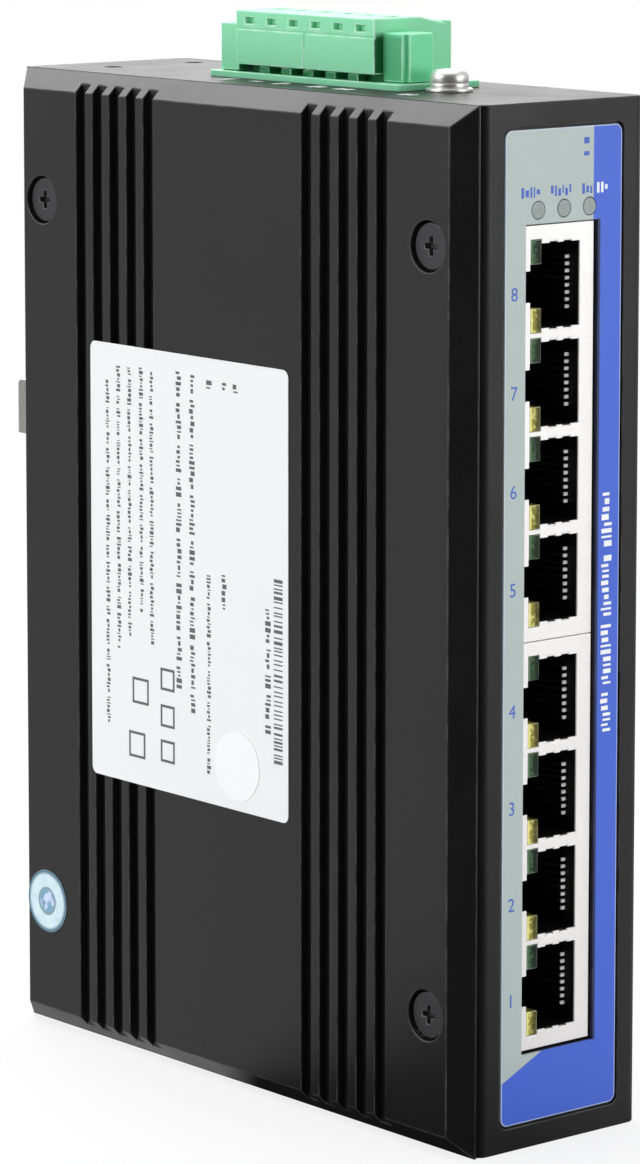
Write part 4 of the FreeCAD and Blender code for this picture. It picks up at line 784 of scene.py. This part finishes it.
# %% Green nylon and tinned copper
green_nylon = finish(
    "green_nylon", "#8cdfb2", 0.42, size=0.18, bump=0.1, tone=0.05, worn="#cdf7df", rub=0.8,
    dusty=0.02, smudge=0.1, paint=deep_green, shine=0.35,
)
shader = green_nylon.node_tree.nodes["Principled BSDF"]
shader.inputs["Subsurface Weight"].default_value = 0.12
shader.inputs["Subsurface Radius"].default_value = (0.3, 1.0, 0.5)
shader.inputs["Subsurface Scale"].default_value = 0.8 * MM
tinned = finish("tinned_copper", "#c9c5bd", 0.3, size=0.1, bump=0.04, metal=1.0, dusty=0.0)

# %% The plug, its header and what is inside
EAR_SHIFT = 1.3  # the back ear stands this much further left than the front one


def shift_back_ear(form):
    """Move the left side of the plug's back ear out, nearly level with the plug's side."""
    moved = 0
    for corner in form.verts:
        left = min(abs(corner.co.x / MM - x) for x in (EAR_SIDE, EAR_SIDE - EAR_NOTCH))
        if corner.co.y > 0 and left < 0.02:
            corner.co.x -= EAR_SHIFT * MM
            moved += 1
    print("back ear: moved", moved, "corners")


break_edges(
    "plug_housing", 0.22, green_nylon, body="plug", change=shift_back_ear
)
break_edges("header_housing", 0.15, green_nylon)
for part in ("plug_contacts", "plug_clamps", "plug_clamp_screws"):
    break_edges(part, 0.06, tinned, body="plug")

# %% Print on the top plate, beside the rim
top_marks = bmesh.new()
TOP_AT, TOP_SIZE = -9.6, 3.0  # foot of the marks, and their height, in mm
TOP_STROKES = THIN + (0.4,)
TOP_MARKS = (  # where each mark starts along the top, and its length, in mm
    (11.3, 3.4), (5.0, 3.0), (-1.2, 2.6), (-4.9, 1.2), (-9.2, 2.6), (-15.1, 3.2), (-29.4, 3.0)
)
for start, length in TOP_MARKS:
    for low, high, foot, head in letters(draw, TOP_SIZE, length, (2, 4), TOP_STROKES):
        top_face.block(top_marks, TOP_AT + foot, TOP_AT + head, start - high, start - low)
mesh_piece("top_marks", top_marks, ink_white, "housing")
print("marks on the top:", len(TOP_MARKS))

# %% [markdown]
# ## Ground screw and rail clip
#
# Zinc plating is bright but never even: it has soft clouds and a fine crystal grain. The
# ground screw and its washers are zinc-plated steel. The clip on the back is thicker and
# duller, die-cast and then plated, so it gets a coarser grain and a rougher gloss.
#
# The latch is pulled down against a coil spring. A stiff copy would stay long and cut
# through the latch; the spring's copy here gets a mesh of its own, but nothing squashes it.

# %% Zinc and clip metal
zinc = finish(
    "zinc_plate", "#f4f2f0", 0.38, size=0.25, bump=0.06, tone=0.08, metal=0.85,
    worn="#ffffff", rub=0.5, smudge=0.15,
)
clip_metal = finish(
    "clip_metal", "#b5b4b1", 0.42, size=0.4, bump=0.16, tone=0.14, metal=1.0,
    worn="#e4e3e0", rub=0.5, smudge=0.16,
)
for part in ("ground_screw", "flat_washer", "spring_washer"):
    break_edges(part, 0.1, zinc)
break_edges("din_bracket", 0.15, clip_metal)
break_edges("din_latch", 0.12, clip_metal, body="latch")
break_edges("bracket_screws", 0.1, zinc)

# %% The latch's spring, copied with a mesh of its own
spring_low, spring_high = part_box("latch_spring")
length = (spring_high.z - spring_low.z) / MM
form = merged(parts["latch_spring"])
coil = mesh_piece("latch_spring_coil", form, zinc, "housing")
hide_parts("latch_spring")
smooth_over(coil, 60)
foot = ((spring_low.x + spring_high.x) / 2, (spring_low.y + spring_high.y) / 2, spring_low.z)
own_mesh(coil)

# %% [markdown]
# ## Label, clear dot and seal
#
# The rating label is matte coated paper. Its print becomes tiles again: lines of small
# letters and of bold ones, a row of bars and a few plain outlines where signs would be. A
# clear plastic dot and a foil seal over one screw complete the side.
#
# The seal's rings are a function of the distance from its middle, so they need no image.
# Two blues in its middle, and a paler blue across it, are a painted reflection: the shimmer of
# foil.

# %% The seal's rings
seal_low, seal_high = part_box("seal_sticker")
seal_middle = (seal_low + seal_high) / 2
DISC, RING, PALE = 1.9, 2.35, 4.1  # radii of the middle, the ring and the pale part, in mm
SHIMMER_SCALE = 650.0


def seal_rings(tree, plain):
    """Pale rings round a blue middle, with the shimmer of foil as a painted reflection."""
    x, y, z = millimetres(tree, seal_middle)
    squares = [sums(tree, "POWER", way, 2.0) for way in (y, z)]
    radius = sums(tree, "SQRT", sums(tree, "ADD", *squares))
    shimmer = use(tree, grain, Scale=SHIMMER_SCALE)["Tone"]
    colour = blend(tree, sums(tree, "MULTIPLY", shimmer, 0.25), plain, linear("#8fb2da"))
    middle = blend(tree, band(tree, shimmer, 0.42, 0.58), linear("#6f9fc0"), linear("#c9d6f2"))
    colour = blend(tree, band(tree, radius, DISC - 0.2, DISC, 1.0, 0.0), colour, middle)
    outside = band(tree, radius, DISC - 0.2, DISC)
    ring = overlap(tree, outside, band(tree, radius, RING - 0.25, RING, 0.8, 0.0))
    colour = blend(tree, ring, colour, linear("#3f7488"))
    return blend(tree, band(tree, radius, PALE, PALE + 0.5), colour, linear("#47768c"))


print("the seal is", round((seal_high.z - seal_low.z) / MM, 1), "mm across")

# %% Paper, plastic and foil
paper = finish(
    "label_paper", "#e6e7e9", 0.55, size=0.3, bump=0.06, tone=0.012, worn="#f6f6f6", rub=0.5,
    dusty=0.02, smudge=0.06,
)
clear_dot = finish(
    "clear_dot", "#eff0f1", 0.3, size=0.5, bump=0.05, tone=0.01, worn="#ffffff", rub=0.8,
    coat=0.5, dusty=0.0,
)
foil = finish(
    "seal_foil", "#d3e8ee", 0.3, size=0.35, bump=0.05, tone=0.05, worn="#eaf6fa", rub=0.6,
    paint=seal_rings, coat=0.4, dusty=0.0,
)
break_edges("rating_label", 0.03, paper, steps=1)
break_edges("clear_dot", 0.05, clear_dot)
break_edges("seal_sticker", 0.04, foil)

# %% Sizes of the label's print
SMALL, BOLD = 1.1, 1.5
LINES = (  # place along the side, first and last height, letter size, all in mm
    (28.9, 103.8, 50.5, SMALL),
    (26.2, 106.2, 62.9, SMALL),
    (23.5, 106.2, 65.0, SMALL),
    (20.6, 106.5, 69.0, SMALL),
    (18.1, 106.1, 64.5, SMALL),
    (11.7, 106.8, 58.6, BOLD),
    (8.5, 106.6, 55.3, BOLD),
    (4.4, 106.2, 104.8, BOLD),
    (4.4, 77.0, 46.8, SMALL),
    (1.0, 106.2, 104.8, BOLD),
    (1.0, 77.5, 72.0, BOLD),
    (-1.7, 106.2, 104.8, BOLD),
    (-9.3, 73.8, 54.6, BOLD),
)
LABEL_STROKES = (0.16, 0.26, 0.36, 0.46)  # widths of letters, as shares of their size
LETTER_HEIGHT = 0.85  # their height, as a share of their size
BARS_AT, BARS_FROM, BARS_TO = -13.3, 78.5, 51.0
BAR_LENGTH, BAR_WIDTHS, BAR_GAPS = 2.0, (0.2, 0.2, 0.35, 0.5), (0.25, 0.4, 0.6)
FRAMES = (  # place along the side, height and half size of each outline, in mm
    (13.9, 59.7, 1.7),
    (13.9, 54.1, 1.7),
    (13.9, 48.7, 1.7),
    (20.5, 57.0, 2.0),
    (21.4, 48.6, 2.0),
)
FRAME_LINE = 0.4
print("lines on the label:", len(LINES))

# %% Print on the label


def add_frame(form, along, up, half, line):
    """A plain square outline on the label."""
    for side in (-1, 1):
        edge = side * (half - line / 2)
        ends = (edge - line / 2, edge + line / 2)
        label_face.block(form, along + ends[0], along + ends[1], up - half, up + half)
        across = (along - half + line, along + half - line)
        label_face.block(form, *across, up + ends[0], up + ends[1])


label_marks = bmesh.new()
draw = random.Random(11)
for along, start, stop, size in LINES:
    for low, high, foot, head in letters(draw, size, start - stop, strokes=LABEL_STROKES):
        across = (along - LETTER_HEIGHT * head, along - LETTER_HEIGHT * foot)
        label_face.block(label_marks, *across, start - high, start - low)
at = BARS_FROM
while at > BARS_TO:
    width = draw.choice(BAR_WIDTHS)
    label_face.block(label_marks, BARS_AT, BARS_AT + BAR_LENGTH, at - width, at)
    at -= width + draw.choice(BAR_GAPS)
for along, up, half in FRAMES:
    add_frame(label_marks, along, up, half, FRAME_LINE)
piece = mesh_piece("label_marks", label_marks, ink_dark, "housing")
print("tiles on the label:", len(piece.data.polygons) // 6)

# %% [markdown]
# ## The parts inside
#
# Nothing inside shows while the case is closed, but a part pulled out of the model
# should not be bare. These keep their CAD shapes and get finishes of their own: the
# green glass-epoxy board, black moulded packages and tinned metal.

# %% Finishes for the inside
board_green = finish("board_green", "#1e5a35", 0.35, size=0.5, bump=0.08, tone=0.2, coat=0.5)
moulded = finish("moulded_package", "#1d1d1e", 0.5, size=0.15, bump=0.12, tone=0.2)
silver = finish("silver_can", "#c4c3c0", 0.3, size=0.2, bump=0.05, metal=1.0)

INSIDE = {
    "circuit_board": board_green,
    "board_screws": zinc,
    "switch_chip": moulded,
    "power_inductor": moulded,
    "alarm_relay": moulded,
    "clock_crystal": silver,
    "line_transformers": moulded,
    "storage_capacitors": silver,
    "light_holder": nylon,
    "header_pins": tinned,
}
for part, material in INSIDE.items():
    parts[part].data.materials.clear()
    parts[part].data.materials.append(material)
print("finished inside:", ", ".join(INSIDE))

# %% [markdown]
# ## Studio
#
# Black gloss is lit by what it mirrors. The studio is white all round but dark behind
# the camera, so the bevel that faces the camera goes nearly black while the top, seen at
# a low angle, mirrors the white far side and turns grey.
#
# Light Path tells the world and the floor which kind of ray is asking. Rays from the
# camera get plain white. Rays from a glossy surface get white too, but darker towards
# the camera's side. All other rays bring the even light that fills the shadows. Near the
# object, the floor also shows a little of its own shading, so that a soft shadow lies
# there.

# %% What gloss mirrors
CAMERA_SIDE = Vector((-0.64, -0.77, 0.0))
DARK_SIDE, HALF_SIDE = 0.02, 0.58  # what gloss mirrors behind the camera, and beside it


def build_studio(tree, given):
    """How bright the studio looks in a mirror, by direction from the object."""
    parts_of = [given[axis] for axis in ("East", "North", "Up")]
    vector = put(tree, "CombineXYZ", dict(enumerate(parts_of))).outputs[0]
    level = put(tree, "VectorMath", {0: vector}, operation="NORMALIZE").outputs[0]
    towards = put(tree, "VectorMath", {0: level, 1: CAMERA_SIDE}, operation="DOT_PRODUCT")
    share = towards.outputs["Value"]
    side = band(tree, share, -0.3, 0.2, 1.0, HALF_SIDE)
    behind = band(tree, share, 0.35, 0.8, HALF_SIDE, DARK_SIDE)
    return {"Light": sums(tree, "MINIMUM", side, behind)}


studio = effect("studio", {"East": 0.0, "North": 0.0, "Up": 0.0}, {"Light": VALUE}, build_studio)


def mirrored(tree, coordinates):
    """The studio effect, fed with the direction from the object."""
    place = put(tree, "TexCoord").outputs[coordinates]
    ways = put(tree, "SeparateXYZ", {0: place}).outputs
    return use(tree, studio, East=ways[0], North=ways[1], Up=ways[2])["Light"]


# %% World
EVEN_LIGHT = 0.55  # the world's light for rays that come from neither camera nor gloss

world = bpy.data.worlds.new("studio_world")
bpy.context.scene.world = world
world.use_nodes = True
tree = world.node_tree
tree.nodes.clear()
path = put(tree, "LightPath").outputs
seen = put(tree, "Background", {"Color": (1, 1, 1, 1), "Strength": 1.0})
gloss = put(tree, "Background", {"Color": mirrored(tree, "Generated"), "Strength": 1.0})
even = put(tree, "Background", {"Color": (1, 1, 1, 1), "Strength": EVEN_LIGHT})
mirrors = sums(tree, "MAXIMUM", path["Is Glossy Ray"], path["Is Transmission Ray"])
others = put(tree, "MixShader", {0: mirrors, 1: even.outputs[0], 2: gloss.outputs[0]})
ray = put(tree, "MixShader", {0: path["Is Camera Ray"], 1: others.outputs[0], 2: seen.outputs[0]})
put(tree, "OutputWorld", {0: ray.outputs[0]})
print("nodes in the world:", len(tree.nodes))

# %% Floor
FLOOR_RADIUS, FLOOR_GREY = 9.0, 0.86
SHADOW_NEAR, SHADOW_FAR = 0.08, 0.45  # in m: shadows on the floor fade out between these
PLAIN_SHARE = 0.8  # share of plain white in the floor under the object

bpy.ops.mesh.primitive_circle_add(
    vertices=96, radius=FLOOR_RADIUS, fill_type="NGON", location=(0, 0, 0)
)
floor = bpy.context.object
floor.name = "studio_floor"
floor_white = bpy.data.materials.new("floor_white")
floor_white.use_nodes = True
tree = floor_white.node_tree
tree.nodes.clear()
path = put(tree, "LightPath").outputs
card = put(tree, "BsdfDiffuse", {"Color": (FLOOR_GREY, FLOOR_GREY, FLOOR_GREY, 1)})
place = put(tree, "TexCoord").outputs["Object"]
distance = put(tree, "VectorMath", {0: place}, operation="LENGTH").outputs["Value"]
seen = put(tree, "Emission", {"Color": (1, 1, 1, 1), "Strength": 1.0})
gloss = put(tree, "Emission", {"Color": mirrored(tree, "Object"), "Strength": 1.0})
plain_white = band(tree, distance, SHADOW_NEAR, SHADOW_FAR, PLAIN_SHARE, 1.0)
white = overlap(tree, path["Is Camera Ray"], plain_white)
lit = put(tree, "MixShader", {0: white, 1: card.outputs[0], 2: seen.outputs[0]})
mirrors = sums(tree, "MAXIMUM", path["Is Glossy Ray"], path["Is Transmission Ray"])
ray = put(tree, "MixShader", {0: mirrors, 1: lit.outputs[0], 2: gloss.outputs[0]})
put(tree, "OutputMaterial", {0: ray.outputs[0]})
floor.data.materials.append(floor_white)
print("studio is white, floor at", floor.location.z)

# %% [markdown]
# ## Lamps
#
# Five large area lamps give soft light with a direction: one high over the object, one
# from the left for the ribbed side, one from the right for the front, and two behind. The
# cover's top bevel mirrors the higher of these, and the top plate mirrors the lower one.
# The larger and nearer a lamp, the softer its shadows. They are kept at a level at which a
# colour renders about as it is written.

# %% Lamps
AIM = Vector((0, 0, 0.08))  # the middle of the object
LAMPS = (  # name, size in m, place in m, power in W
    ("top_lamp", 1.2, (0.1, 0.2, 1.5), 8.0),
    ("side_lamp", 1.0, (-1.5, 0.45, 0.7), 9.3),
    ("front_lamp", 0.8, (0.6, -1.3, 0.2), 7.5),
    ("back_lamp", 1.2, (0.15, 1.15, 0.95), 13.0),
    ("far_lamp", 1.2, (0.75, 1.05, 0.68), 7.0),
)


def lamp(name, size, at, power):
    """A square area lamp that looks at the middle of the object."""
    light = bpy.data.lights.new(name, "AREA")
    light.shape, light.size, light.energy = "SQUARE", size, power
    thing = bpy.data.objects.new(name, light)
    bpy.context.scene.collection.objects.link(thing)
    thing.location = at
    thing.rotation_euler = (AIM - Vector(at)).to_track_quat("-Z", "Y").to_euler()
    print("lamp", name, power, "W")


for name, size, at, power in LAMPS:
    lamp(name, size, at, power)

# %% [markdown]
# ## Camera
#
# A long lens from well back keeps the case's edges nearly parallel. The camera stands to
# the left of the sockets and looks down a little. The lens is shifted, as a view camera's
# is: that brings the whole object into the frame without tilting the camera further.

# %% Camera
CAMERA_AT = (-0.46105, -0.55115, 0.2004)
AZIMUTH, ELEVATION, ROLL = -39.967, 7.181, 0.024  # in degrees
LENS, SENSOR, SHIFT = 150.04, 36.0, -0.2002

lens = bpy.data.cameras.new("camera")
lens.lens, lens.sensor_width, lens.sensor_fit = LENS, SENSOR, "AUTO"
lens.shift_x, lens.shift_y = 0.0, SHIFT
lens.clip_start, lens.clip_end = 0.05, 50.0
camera = bpy.data.objects.new("camera", lens)
bpy.context.scene.collection.objects.link(camera)
turn = Matrix.Rotation(math.radians(AZIMUTH), 4, "Z")
tilt = Matrix.Rotation(math.radians(90 - ELEVATION), 4, "X")
roll = Matrix.Rotation(math.radians(ROLL), 4, "Z")
camera.matrix_world = Matrix.Translation(CAMERA_AT) @ turn @ tilt @ roll
bpy.context.scene.camera = camera
bpy.context.scene.view_settings.view_transform = "Standard"
print("camera at", CAMERA_AT)

# %% [markdown]
# ## Boxes as plain numbers
#
# Dressing must not change the object's size. A helper turns a box of corners into lists of
# plain numbers.

# %% Boxes as lists of numbers


def plain(box):
    """A box of corners as lists of numbers."""
    return [[float(v) for v in corner] for corner in box]
